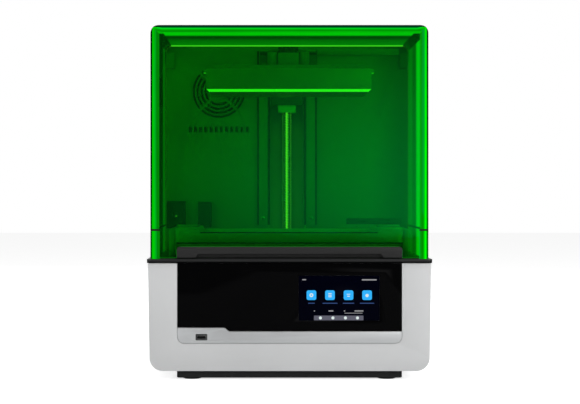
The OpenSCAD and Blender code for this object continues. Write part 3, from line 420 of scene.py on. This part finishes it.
def add_lathe(bm, profile, place, steps=24, index=0):
    """Turns (radius, height) points round the Z axis of the matrix place, and closes both ends."""
    rings = []
    for radius, height in profile:
        ring = []
        for i in range(steps):
            a = 2 * math.pi * i / steps
            corner = Vector((radius * math.cos(a), radius * math.sin(a), height))
            ring.append(bm.verts.new(place @ corner))
        rings.append(ring)
    faces = []
    for low, high in zip(rings, rings[1:]):
        for i in range(steps):
            j = (i + 1) % steps
            faces.append(bm.faces.new((low[i], low[j], high[j], high[i])))
    faces.append(bm.faces.new(list(reversed(rings[0]))))
    faces.append(bm.faces.new(rings[-1]))
    for f in faces:
        f.material_index = index


def add_prism(bm, outline, place, height, index=0):
    """Raises a flat outline, given as (x, y) points, by height along Z of the matrix place."""
    low = [bm.verts.new(place @ Vector((x, y, 0))) for x, y in outline]
    high = [bm.verts.new(place @ Vector((x, y, height))) for x, y in outline]
    faces = [bm.faces.new(list(reversed(low))), bm.faces.new(high)]
    for i in range(len(outline)):
        j = (i + 1) % len(outline)
        faces.append(bm.faces.new((low[i], low[j], high[j], high[i])))
    for f in faces:
        f.material_index = index


def rounded_outline(width, height, radius, cx=0.0, cy=0.0, steps=5):
    """Corners of a rounded rectangle, in order."""
    points = []
    for k, (sx, sy) in enumerate(((1, 1), (-1, 1), (-1, -1), (1, -1))):
        for i in range(steps + 1):
            a = math.pi / 2 * (k + i / steps)
            points.append((cx + sx * (width / 2 - radius) + radius * math.cos(a),
                           cy + sy * (height / 2 - radius) + radius * math.sin(a)))
    return points


def disc_outline(radius, cx=0.0, cy=0.0, steps=20):
    """Corners of a circle, in order."""
    return [(cx + radius * math.cos(2 * math.pi * i / steps),
             cy + radius * math.sin(2 * math.pi * i / steps)) for i in range(steps)]


def facing(direction, origin):
    """A matrix whose Z axis points along the direction, with X level."""
    z = Vector(direction).normalized()
    x = Vector((0, 0, 1)).cross(z)
    x = x.normalized() if x.length > 0.01 else Vector((1, 0, 0))
    y = z.cross(x)
    turn = Matrix((x, y, z)).transposed().to_4x4()
    return Matrix.Translation(origin) @ turn


def screws(name, spots, direction, radius, body, proud=0.5 * MM):
    """Button-head screws with hexagon sockets, at places on a face that looks along the direction; each
    socket's black floor is painted shade.
    """
    bm = bmesh.new()
    head = ((1.0, 0.0), (1.0, 0.35), (0.86, 0.8), (0.62, 1.0), (0.46, 1.0), (0.42, 0.2))
    # painted shade: a black hexagon disc at the bottom of each round pit
    hexagon = ((0.42, 0.22), (0.40, 0.24))
    for spot in spots:
        place = facing(direction, Vector(spot))
        add_lathe(bm, [(radius * r, proud * h) for r, h in head], place)
        add_lathe(bm, [(radius * r, proud * h) for r, h in hexagon], place, steps=6, index=1)
    piece_from(name, bm, [FINISH["steel_bright"], FINISH["black_plastic"]], body)


# ---- the lid and its guards ----

SEAM_LOW = 205.0 * MM                # the side walls carry a dark band, the joint and its painted shadow, from here, where the lid meets its guards,
SEAM_HIGH = 207.8 * MM               # to here
SEAL = 0.3 * MM                      # height of the seal on each guard
EDGE_END = 176 * MM                  # the lid's rear edge glows as far out from the middle as this
REAR_EDGE = 25 * MM                  # faces that look back count as cut this close to the lid's rear
FLAT = 0.9999                        # a face belongs to a rounded edge if no part of its normal reaches this
MAINLY = 0.9                         # a face looks along an axis if that part of its normal is over this
BARELY = 0.02                        # and across it if that part is under this


def acrylic_index(n, c, rear):
    """Which of SHEETS a face takes, from its normal, its middle and how far back the lid goes."""
    # the seam band is black rubber: the joint and its painted shadow
    if SEAM_LOW < c.z < SEAM_HIGH and (abs(n.x) > BARELY or abs(n.z) > MAINLY):
        return SEAM
    if max(abs(n.x), abs(n.y), abs(n.z)) < FLAT:
        if abs(n.z) < BARELY:
            return RIM_LEFT if c.x < 0 else RIM_RIGHT
        return RIM_TOP if abs(n.y) > BARELY else RIM_SIDE
    if abs(n.z) > MAINLY:
        return CEILING
    if abs(n.x) > MAINLY:
        return WALL_LEFT if c.x < 0 else WALL_RIGHT
    if n.y > MAINLY and c.y > rear - REAR_EDGE:
        return CUT if abs(c.x) < EDGE_END else RIM_SIDE
    return FRONT


def sort_acrylic(bm):
    """The front stays clear, walls and rounded edges carry painted light, cut edges a painted glow, and the
    seam is dark, the joint with its painted shadow.
    """
    _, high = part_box("lid")
    cut(bm, (0, 0, SEAM_LOW), (0, 0, 1))
    cut(bm, (0, 0, SEAM_HIGH), (0, 0, 1))
    for side in (-1, 1):
        cut(bm, (side * EDGE_END, 0, 0), (1, 0, 0))
    for f in bm.faces:
        f.material_index = acrylic_index(f.normal, f.calc_center_median(), high.y)


def make_acrylic():
    """The lid and its two guards keep the edges they have in CAD, and take their finish by face."""
    for node in ("lid", "side_guard_left", "side_guard_right"):
        refined(node, width=0, sort=sort_acrylic, materials=SHEETS)


# ---- the display ----

def make_display():
    """Lit shapes just above the touch screen's glass: icons with plain marks, bars and dots."""
    low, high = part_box("touch_screen")
    mid = Vector(((low.x + high.x) / 2, low.y, (low.z + high.z) / 2))
    icon = 13.3 * MM
    pitch = 25.5 * MM
    icon_z = 4.1 * MM
    label_z = -7.0 * MM
    list_z = -17.6 * MM
    bottom_z = -27.2 * MM
    lift = 0.06 * MM
    bm = bmesh.new()
    glass = facing((0, -1, 0), mid)

    def bar(x, z, w, h, index, radius=0.0, height=lift):
        r = min(radius or h * 0.45, w * 0.49, h * 0.49)
        add_prism(bm, rounded_outline(w, h, r, x, z), glass, height, index)

    def dot(x, z, r, index, height=lift):
        add_prism(bm, disc_outline(r, x, z), glass, height, index)

    blue, white, dim, silver, pale = range(5)
    for i, label in enumerate((9.2, 20.6, 15.8, 19.8)):
        x = (i - 1.5) * pitch
        bar(x, icon_z, icon, icon, blue, 2.6 * MM)
        bar(x, label_z, label * MM, 1.3 * MM, dim)

    # marks on the icons: a ring, three lines, two lines, a dot
    mark = 2 * lift
    start = -1.5 * pitch
    dot(start, icon_z, 2.7 * MM, white, mark)
    dot(start, icon_z, 1.1 * MM, blue, mark + lift)
    for k in range(3):
        bar(start + pitch, (6.3 - 2.2 * k) * MM, 4.6 * MM, 1.1 * MM, white, height=mark)
    bar(start + 2 * pitch, 2.6 * MM, 3.6 * MM, 1.3 * MM, white, height=mark)
    bar(start + 2 * pitch, 5.4 * MM, 5.2 * MM, 0.8 * MM, white, height=mark)
    dot(start + 3 * pitch, 3.6 * MM, 2.3 * MM, white, mark)

    # two bars along the top, a row of short ones with a line below it, and a band with four dots
    bar(-48.3 * MM, 25.4 * MM, 5.6 * MM, 1.5 * MM, silver)
    bar(41.2 * MM, 25.2 * MM, 20.5 * MM, 1.7 * MM, silver)
    for x, w in ((-34.1, 1.6), (-11.5, 6.8), (7.2, 1.8), (27.1, 12.2)):
        bar(x * MM, list_z, w * MM, 1.6 * MM, silver)
    bar(19.6 * MM, -20.6 * MM, 24.8 * MM, 0.8 * MM, silver)
    bar(-0.8 * MM, bottom_z, 68.0 * MM, 6.4 * MM, pale, 0.8 * MM)
    for x in (-25.9, -8.7, 8.5, 25.1):
        dot(x * MM, bottom_z, 2.1 * MM, white, mark)
    colours = [lit("display_blue", (0.0, 0.42, 0.95), 1.0), lit("display_white", (0.85, 0.97, 0.95), 0.8),
               lit("display_dim", (0.0, 0.07, 0.32), 0.5), lit("display_grey", (0.5, 0.5, 0.52), 0.55),
               lit("display_pale", (0.12, 0.12, 0.17), 0.7)]
    piece_from("display_image", bm, colours, "base", smooth=10)


# ---- the ball screw ----

def make_screw():
    """The screw with its thread cut in: journals at the ends, and a helix between them."""
    low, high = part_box("lead_screw")
    axis = Vector(((low.x + high.x) / 2, (low.y + high.y) / 2, 0))
    major = (high.x - low.x) / 2
    root = major - 0.8 * MM
    journal = 5 * MM
    lap = 0.5 * MM                       # the journals reach this far into the threaded length
    shoulder_low = low.z + 21 * MM
    shoulder_high = high.z - 10.4 * MM
    lead = 4 * MM
    steps = 20
    bm = bmesh.new()
    add_lathe(bm, [(journal, low.z), (journal, shoulder_low + lap)], Matrix.Translation(axis))
    add_lathe(bm, [(journal, shoulder_high - lap), (journal, high.z)], Matrix.Translation(axis))

    # one turn's outline: (share of the lead, radius)
    levels = ((0.0, root), (0.18, root), (0.34, major), (0.84, major), (1.0, root))
    turns = (shoulder_high - shoulder_low) / lead - 1
    rows = []
    for i in range(int(turns * steps) + 1):
        a = 2 * math.pi * i / steps
        z = shoulder_low + lead * i / steps
        rows.append([bm.verts.new(axis + Vector((r * math.cos(a), r * math.sin(a), z + h * lead)))
                     for h, r in levels])
    for one, two in zip(rows, rows[1:]):
        for k in range(len(levels) - 1):
            bm.faces.new((one[k], two[k], two[k + 1], one[k + 1]))

    # close the first and last turn to the axis
    first = rows[0]
    last = rows[-1]
    hub_low = bm.verts.new(axis + Vector((0, 0, shoulder_low)))
    hub_high = bm.verts.new(axis + Vector((0, 0, shoulder_high)))
    for i in range(steps):
        bm.faces.new((rows[i][0], rows[i + 1][0], hub_low))
        top = len(rows) - 1 - i
        bm.faces.new((rows[top][-1], rows[top - 1][-1], hub_high))
    for k in range(len(levels) - 1):
        bm.faces.new((first[k], first[k + 1], hub_low))
        bm.faces.new((last[k + 1], last[k], hub_high))
    piece = piece_from("lead_screw_finish", bm, [SCREW_PAINTED_BANDS], "screw", smooth=50)
    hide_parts("lead_screw")


# ---- small parts ----

def make_fasteners():
    """Screws that hold the panels, where a hand would reach them."""
    sunk = 0.55 * MM                     # rear heads start this far in, to stay within the depth
    low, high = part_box("rear_cover")
    inset = 9 * MM
    middle_z = 300 * MM
    spots = [(x, high.y - sunk, z) for x in (low.x + 2 * inset, 0, high.x - 2 * inset)
             for z in (low.z + inset, middle_z, high.z - 2 * inset)]
    screws("rear_cover_screws", spots, (0, 1, 0), 3.2 * MM, "base")

    low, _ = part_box("back_panel")
    spots = [(x * MM, low.y, low.z + 18 * MM) for x in (-165, -60, 60, 165)]
    screws("back_panel_screws", spots, (0, -1, 0), 3.0 * MM, "base", proud=1.6 * MM)

    low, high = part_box("column_covers")
    inset = 12 * MM
    spots = [(side * (high.x - 8.4 * MM), low.y, z) for side in (-1, 1)
             for z in (low.z + inset, high.z - inset)]
    screws("column_cover_screws", spots, (0, -1, 0), 2.6 * MM, "base", proud=1.4 * MM)

    low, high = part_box("power_inlet")
    inset = 3.4 * MM
    spots = [(x, high.y - sunk, (low.z + high.z) / 2) for x in (low.x + inset, high.x - inset)]
    screws("inlet_screws", spots, (0, 1, 0), 2.2 * MM, "base")


def make_camera_lens():
    """A domed lens in the left end of the camera pod, with a painted glint on it, a tiny glowing disc."""
    low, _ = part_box("camera_pod")
    eye = Vector((-172.5 * MM, low.y + 0.95 * MM, 222 * MM))
    glint_size = 0.9 * MM
    bm = bmesh.new()
    profile = [(5 * MM, 0.0), (4.7 * MM, 0.35 * MM), (3.6 * MM, 0.62 * MM), (2.0 * MM, 0.8 * MM),
               (0.4 * MM, 0.86 * MM)]
    add_lathe(bm, profile, facing((0, -1, 0), eye), steps=28)
    # painted glint: a tiny glowing disc stands in for light caught on the lens
    lamp_or_glint = facing((0, -1, 0), eye + Vector((1.3 * MM, 0, -1.2 * MM)))
    add_prism(bm, disc_outline(glint_size), lamp_or_glint, glint_size, index=1)
    finishes = [FINISH["lcd_black"], lit("camera_glint", (0.8, 1.0, 0.8), 0.9)]
    piece_from("camera_lens", bm, finishes, "base", smooth=80)


def make_switch_mark():
    """The mark on the power switch: a bar."""
    low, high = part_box("power_switch")
    mid = Vector(((low.x + high.x) / 2, high.y - 0.05 * MM, (low.z + high.z) / 2))
    bm = bmesh.new()
    place = Matrix.Translation(mid) @ Matrix.Rotation(math.radians(-90), 4, "X")
    add_prism(bm, rounded_outline(0.7 * MM, 3.2 * MM, 0.3 * MM), place, 0.02 * MM)
    piece_from("switch_mark", bm, [FINISH["board_white"]], "switch")


def arc(radius, x, z):
    """Points in order up a corner, from 10 to 82 degrees, round a centre at (x, z)."""
    angles = [math.radians(10 + 8 * i) for i in range(10)]
    return [(radius * math.cos(a) + x, radius * math.sin(a) + z) for a in angles]


def make_gaskets():
    """Rubber strips that close the gap between the rear housing and the lid's side walls.

    Each has a straight length up the side, and a corner piece that fills the space between the
    housing's rounded corner and the lid's.
    """
    low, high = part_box("back_panel")
    middle = (low.y + high.y) / 2
    thick = 0.34 * MM
    deep = 2.2 * MM
    corner = 9.5 * MM                    # centre of the housing's corner, in from its side and top
    bm = bmesh.new()
    for side in (-1, 1):
        place = Matrix.Translation((side * (high.x + thick / 2), middle, low.z + 2 * MM))
        add_prism(bm, rounded_outline(thick, deep, 0.1 * MM), place, high.z - low.z - 13 * MM)
        centre = Vector((side * (high.x - corner), middle - deep / 2, high.z - corner))
        inner = arc(9.6 * MM, 0, 0)
        outer = arc(8.9 * MM, 0.9 * MM, 2.05 * MM)
        points = [(side * x, z) for x, z in outer + inner[::-1]]
        place = Matrix.Translation(centre) @ Matrix.Rotation(math.pi / 2, 4, "X")
        add_prism(bm, points, place, deep)
    piece_from("housing_gaskets", bm, [FINISH["rubber"]], "base")


def make_guard_seals():
    """A thin dark seal on the upper edge of each side guard, below the lid."""
    for side in ("left", "right"):
        _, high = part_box("side_guard_" + side)
        bm = copied("side_guard_" + side)
        edge = high.z - 1 * MM
        rest = [f for f in bm.faces if not (f.normal.z > MAINLY and f.calc_center_median().z > edge)]
        bmesh.ops.delete(bm, geom=rest, context="FACES")
        made = bmesh.ops.extrude_face_region(bm, geom=list(bm.faces))["geom"]
        top = [v for v in made if isinstance(v, bmesh.types.BMVert)]
        bmesh.ops.translate(bm, verts=top, vec=(0, 0, SEAL))
        piece_from("guard_seal_" + side, bm, [FINISH["rubber"]], "base")


def make_cover_shadow_strips():
    """Black rubber strips along both edges of each column cover: painted shadow of the gaps beside them."""
    low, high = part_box("column_covers")
    thick = 0.3 * MM
    end_gap = 1 * MM
    strips = ((0.9 * MM, 3.0 * MM), (17.6 * MM, 3.8 * MM))   # how far in from the outer edge, and how wide
    bm = bmesh.new()
    for side in (-1, 1):
        for inset, width in strips:
            place = Matrix.Translation((side * (high.x - inset), low.y - thick / 2, low.z + end_gap))
            outline = rounded_outline(width, thick, 0.1 * MM)
            add_prism(bm, outline, place, high.z - low.z - 2 * end_gap)
    # painted shadow: dark strips where the gaps beside the covers would be shaded
    piece_from("cover_shadow_strips", bm, [FINISH["rubber"]], "base")


def make_vat_marks():
    """Level lines on the vat's inner back wall."""
    low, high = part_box("vat_frame")
    wall = (low.y + high.y) / 2 + 75.02 * MM
    line_x = 60 * MM
    bm = bmesh.new()
    for i in range(5):
        width = (14 if i % 2 else 8) * MM
        place = facing((0, -1, 0), Vector((line_x, wall, low.z + (6 + 5 * i) * MM)))
        add_prism(bm, rounded_outline(width, 0.6 * MM, 0.25 * MM), place, 0.08 * MM)
    piece_from("vat_level_marks", bm, [FINISH["black_plastic"]], "base")


# ---- parts with more than one finish ----

def sort_arm(bm):
    """The boss of the arm's head is paler than the beam across it, and a black band runs along the arm."""
    _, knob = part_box("plate_knob")
    band_low = 460.5 * MM
    band_high = 465.0 * MM
    band_end = 30 * MM                   # the band stops this far behind the machine's middle
    boss_half = 15.2 * MM
    boss_end = knob.y + 12 * MM
    for z in (band_low, band_high):
        cut(bm, (0, 0, z), (0, 0, 1))
    for f in bm.faces:
        c = f.calc_center_median()
        band = band_low < c.z < band_high and c.y < band_end
        boss = abs(c.x) < boss_half and c.y < boss_end
        f.material_index = 2 if band else 1 if boss else 0


def sort_pod(bm):
    """The camera's bridge is paler than the two housings it joins."""
    low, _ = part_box("camera_pod")
    bridge_start = low.x + 29 * MM
    bridge_end = low.x + 48 * MM
    for f in bm.faces:
        f.material_index = 1 if bridge_start < f.calc_center_median().x < bridge_end else 0


def sort_socket(bm):
    """A bright rim round a dark inside, with the tongue a little lighter; the black on the metal shell's
    inside is painted shade.
    """
    low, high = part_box("usb_socket")
    mid_x = (low.x + high.x) / 2
    mid_z = (low.z + high.z) / 2
    tongue_half = 5.6 * MM
    tongue_top = mid_z + 2 * MM
    for f in bm.faces:
        c = f.calc_center_median()
        tongue = abs(c.x - mid_x) < tongue_half and mid_z < c.z < tongue_top
        rim = f.normal.y < -MAINLY and c.y < low.y + 0.3 * MM
        # painted shade: faces that are neither rim nor tongue take black plastic
        f.material_index = 2 if tongue else 0 if rim else 1


def sort_plate(bm):
    """The blasted plate has a painted highlight, glowing, on the bevel along its lower front and rear edges,
    and painted shade on its corners.
    """
    for f in bm.faces:
        n = f.normal
        bevel = -0.8 < n.z < -0.6 and abs(n.y) > 0.6
        corner = abs(n.x) > 0.3 and abs(n.y) > 0.3
        f.material_index = 1 if bevel else 2 if corner else 0


def sort_handle(bm):
    """The handle's flange, at its back, is paler than the grip, and has a black upper edge, a painted shadow
    line.
    """
    _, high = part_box("lid_handle")
    # painted shadow: the black strip along the top edge
    edge = high.z - 1.7 * MM
    flange = high.y - 3.5 * MM
    cut(bm, (0, 0, edge), (0, 0, 1))
    for f in bm.faces:
        c = f.calc_center_median()
        f.material_index = 0 if c.y <= flange else 1 if c.z < edge else 2


def shade_panel_openings(bm):
    """The walls of the openings, and everything behind the face, are black rubber: painted shade."""
    # painted shade: every face not facing the front is black
    for f in bm.faces:
        f.material_index = 0 if f.normal.y < -0.5 else 1


def shade_trim_edges(bm):
    """The strip's rounded edges and sides are dark: painted shade of the gap round the strip."""
    # painted shade: faces not facing the front take the dark finish
    for f in bm.faces:
        f.material_index = 0 if f.normal.y < -0.95 else 1


def shade_deck_lip(bm):
    """The deck is glossy black below the middle of its lip: painted shade of the gap under the lip."""
    # painted shade: the lip's lower half takes the glossy black finish
    edge = 163.2 * MM
    cut(bm, (0, 0, edge), (0, 0, 1))
    for f in bm.faces:
        f.material_index = 1 if f.calc_center_median().z < edge else 0


def shade_vat_rim(bm):
    """A painted shadow line of black rubber runs along the top of the vat's front wall, between its raised
    ends.
    """
    low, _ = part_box("vat_frame")
    # painted shadow: a band of black rubber along the front wall's top
    shadow_low = 200.7 * MM
    shadow_high = 202.8 * MM
    shadow_half = 125 * MM
    shadow_end = low.y + 22 * MM
    cut(bm, (0, 0, shadow_low), (0, 0, 1))
    for side in (-1, 1):
        cut(bm, (side * shadow_half, 0, 0), (1, 0, 0))
    for f in bm.faces:
        c = f.calc_center_median()
        line = shadow_low < c.z < shadow_high and abs(c.x) < shadow_half and c.y < shadow_end
        f.material_index = 1 if line else 0


# painted highlight: the bevel glows pale green in place of light reflected along it
PLATE_BEVEL_HIGHLIGHT = surface("plate_bevel_highlight", (0.85, 0.86, 0.87), 0.3, metal=0.5, grain=900, bump=0.03,
                      Emission_Color=(0.3, 1.0, 0.45, 1), Emission_Strength=1.15)

# How a node's faces are sorted, and the finishes they are sorted into.
SPLIT = {
    "z_arm": (sort_arm, [FINISH["arm_dark"], FINISH["panel_grey"], FINISH["rubber"]]),
    "camera_pod": (sort_pod, [FINISH["black_plastic"], FINISH["panel_grey"]]),
    "usb_socket": (sort_socket, [FINISH["steel_bright"], FINISH["black_plastic"], FINISH["handle_grey"]]),
    "level_screws": (None, [FINISH["panel_grey"]]),
    "build_plate": (sort_plate, [FINISH["plate_alu"], PLATE_BEVEL_HIGHLIGHT, FINISH["arm_dark"]]),
    "lid_handle": (sort_handle, [FINISH["handle_grey"], FINISH["panel_grey"], FINISH["rubber"]]),
    "vat_frame": (shade_vat_rim, [FINISH["vat_alu"], FINISH["rubber"]]),
    "back_panel": (shade_panel_openings, [FINISH["panel_grey"], FINISH["rubber"]]),
    "trim_strip": (shade_trim_edges, [FINISH["silver_trim"], FINISH["arm_dark"]]),
    "deck_plate": (shade_deck_lip, [FINISH["deck_dark"], FINISH["gloss_black"]]),
}


# ---- build every piece ----

BY_HAND = {"lid", "side_guard_left", "side_guard_right", "lead_screw"}
WIDTH = 0.35                         # rounding of a part's edges, in millimetres
WIDTHS = {                           # and for the parts that differ
    "base_housing": 0.6, "deck_plate": 0.7, "base_plate": 0.8, "front_panel": 0.3, "trim_strip": 0.9,
    "touch_screen": 0.12, "lid_handle": 0.6, "build_plate": 0.5, "plate_cover": 0.5, "vat_frame": 0.8,
    "plate_knob": 0.6, "z_arm": 0.6, "rear_cover": 0.6, "back_panel": 0.3, "usb_socket": 0.08,
}

make_acrylic()
make_screw()
for name in sorted(NODES):
    if name not in BY_HAND:
        refined(name, WIDTHS.get(name, WIDTH) * MM, *SPLIT.get(name, (None, None)))
make_display()
make_fasteners()
make_camera_lens()
make_switch_mark()
make_gaskets()
make_guard_seals()
make_cover_shadow_strips()
make_vat_marks()


# ---- studio ----

AIM = Vector((0, 0, 0.25))           # the lights look at the middle of the machine
PATCH_TOWARDS = (0.10, -0.995, 0.0)  # direction of a soft bright patch in front of the machine
PATCH_REACH = 0.2                    # how far from that direction it fades out
PATCH_BRIGHT = 2.7
ROOM_BRIGHT = 0.2
FLOOR_LIFT = 0.75                    # light added to the floor for the camera
LENS = 99.16                         # focal length for a sensor 36 mm wide
CAMERA_AT = (-0.031, -2.378, 0.2647)


def add_light(name, place, size, power):
    """A white panel lamp, size metres across, that looks at AIM."""
    data = bpy.data.lights.new(name, "AREA")
    data.shape = "RECTANGLE"
    data.size, data.size_y = size
    data.energy = power
    lamp_or_glint = bpy.data.objects.new(name, data)
    lamp_or_glint.location = place
    lamp_or_glint.rotation_euler = (AIM - lamp_or_glint.location).to_track_quat("-Z", "Y").to_euler()
    bpy.context.scene.collection.objects.link(lamp_or_glint)


def studio_floor():
    """Pale floor that stays white to its far edge, and keeps a faint shadow below the machine."""
    m, tree = new_material("floor")
    paint = put(tree, "BsdfDiffuse", Color=varied(tree, (0.88, 0.88, 0.88), 0.01)).outputs["BSDF"]
    lift = calc(tree, "MULTIPLY", put(tree, "LightPath").outputs["Is Camera Ray"], FLOOR_LIFT)
    light = put(tree, "Emission", Strength=lift).outputs["Emission"]
    both = put(tree, "AddShader")
    tree.links.new(paint, both.inputs[0])
    tree.links.new(light, both.inputs[1])
    output(tree, both.outputs[0])
    return m


def make_studio():
    """White for the camera, grey with one bright patch for all other light, and four soft lamps."""
    world = bpy.data.worlds.new("studio")
    world.use_nodes = True
    tree = world.node_tree
    tree.nodes.clear()
    seen = put(tree, "LightPath").outputs["Is Camera Ray"]
    where = put(tree, "TexCoord").outputs["Generated"]
    away = put(tree, "VectorMath", {"operation": "DISTANCE"})
    tree.links.new(where, away.inputs[0])
    away.inputs[1].default_value = PATCH_TOWARDS
    room = put(tree, "MapRange", {"interpolation_type": "SMOOTHSTEP"}, Value=away.outputs["Value"],
               From_Min=0.0, From_Max=PATCH_REACH, To_Min=PATCH_BRIGHT, To_Max=ROOM_BRIGHT)
    colour = put(tree, "MixRGB", Fac=seen, Color1=room.outputs["Result"], Color2=(1.0, 1.0, 1.0, 1))
    shader = put(tree, "Background", Color=colour.outputs["Color"], Strength=1.0)
    tree.links.new(shader.outputs[0], put(tree, "OutputWorld").inputs["Surface"])
    bpy.context.scene.world = world
    add_light("key_right", (1.7, -1.9, 1.1), (1.4, 1.8), 32)
    add_light("fill_left", (-1.8, -1.7, 0.9), (1.4, 1.8), 17)
    add_light("top", (0, -0.2, 2.2), (1.8, 1.6), 20)
    add_light("rear", (0.3, 2.4, 1.2), (1.8, 1.6), 24)

    bm = bmesh.new()
    bmesh.ops.create_grid(bm, x_segments=8, y_segments=8, size=7)
    mesh = bpy.data.meshes.new("floor")
    bm.to_mesh(mesh)
    bm.free()
    mesh.materials.append(studio_floor())
    floor = bpy.data.objects.new("floor", mesh)
    bpy.context.scene.collection.objects.link(floor)


def make_camera():
    """A level camera in front of the machine, a little left of its middle; the shift frames the view."""
    data = bpy.data.cameras.new("camera")
    data.sensor_width = 36
    data.lens = LENS
    data.shift_x = 0.0396
    data.shift_y = -0.0247
    data.clip_start = 0.01
    camera = bpy.data.objects.new("camera", data)
    camera.location = CAMERA_AT
    camera.rotation_euler = (math.radians(90), 0, 0)
    bpy.context.scene.collection.objects.link(camera)
    bpy.context.scene.camera = camera


make_studio()
make_camera()
scene = bpy.context.scene
scene.view_settings.view_transform = "Standard"
scene.cycles.max_bounces = 12
scene.cycles.transparent_max_bounces = 24
scene.cycles.use_denoising = True
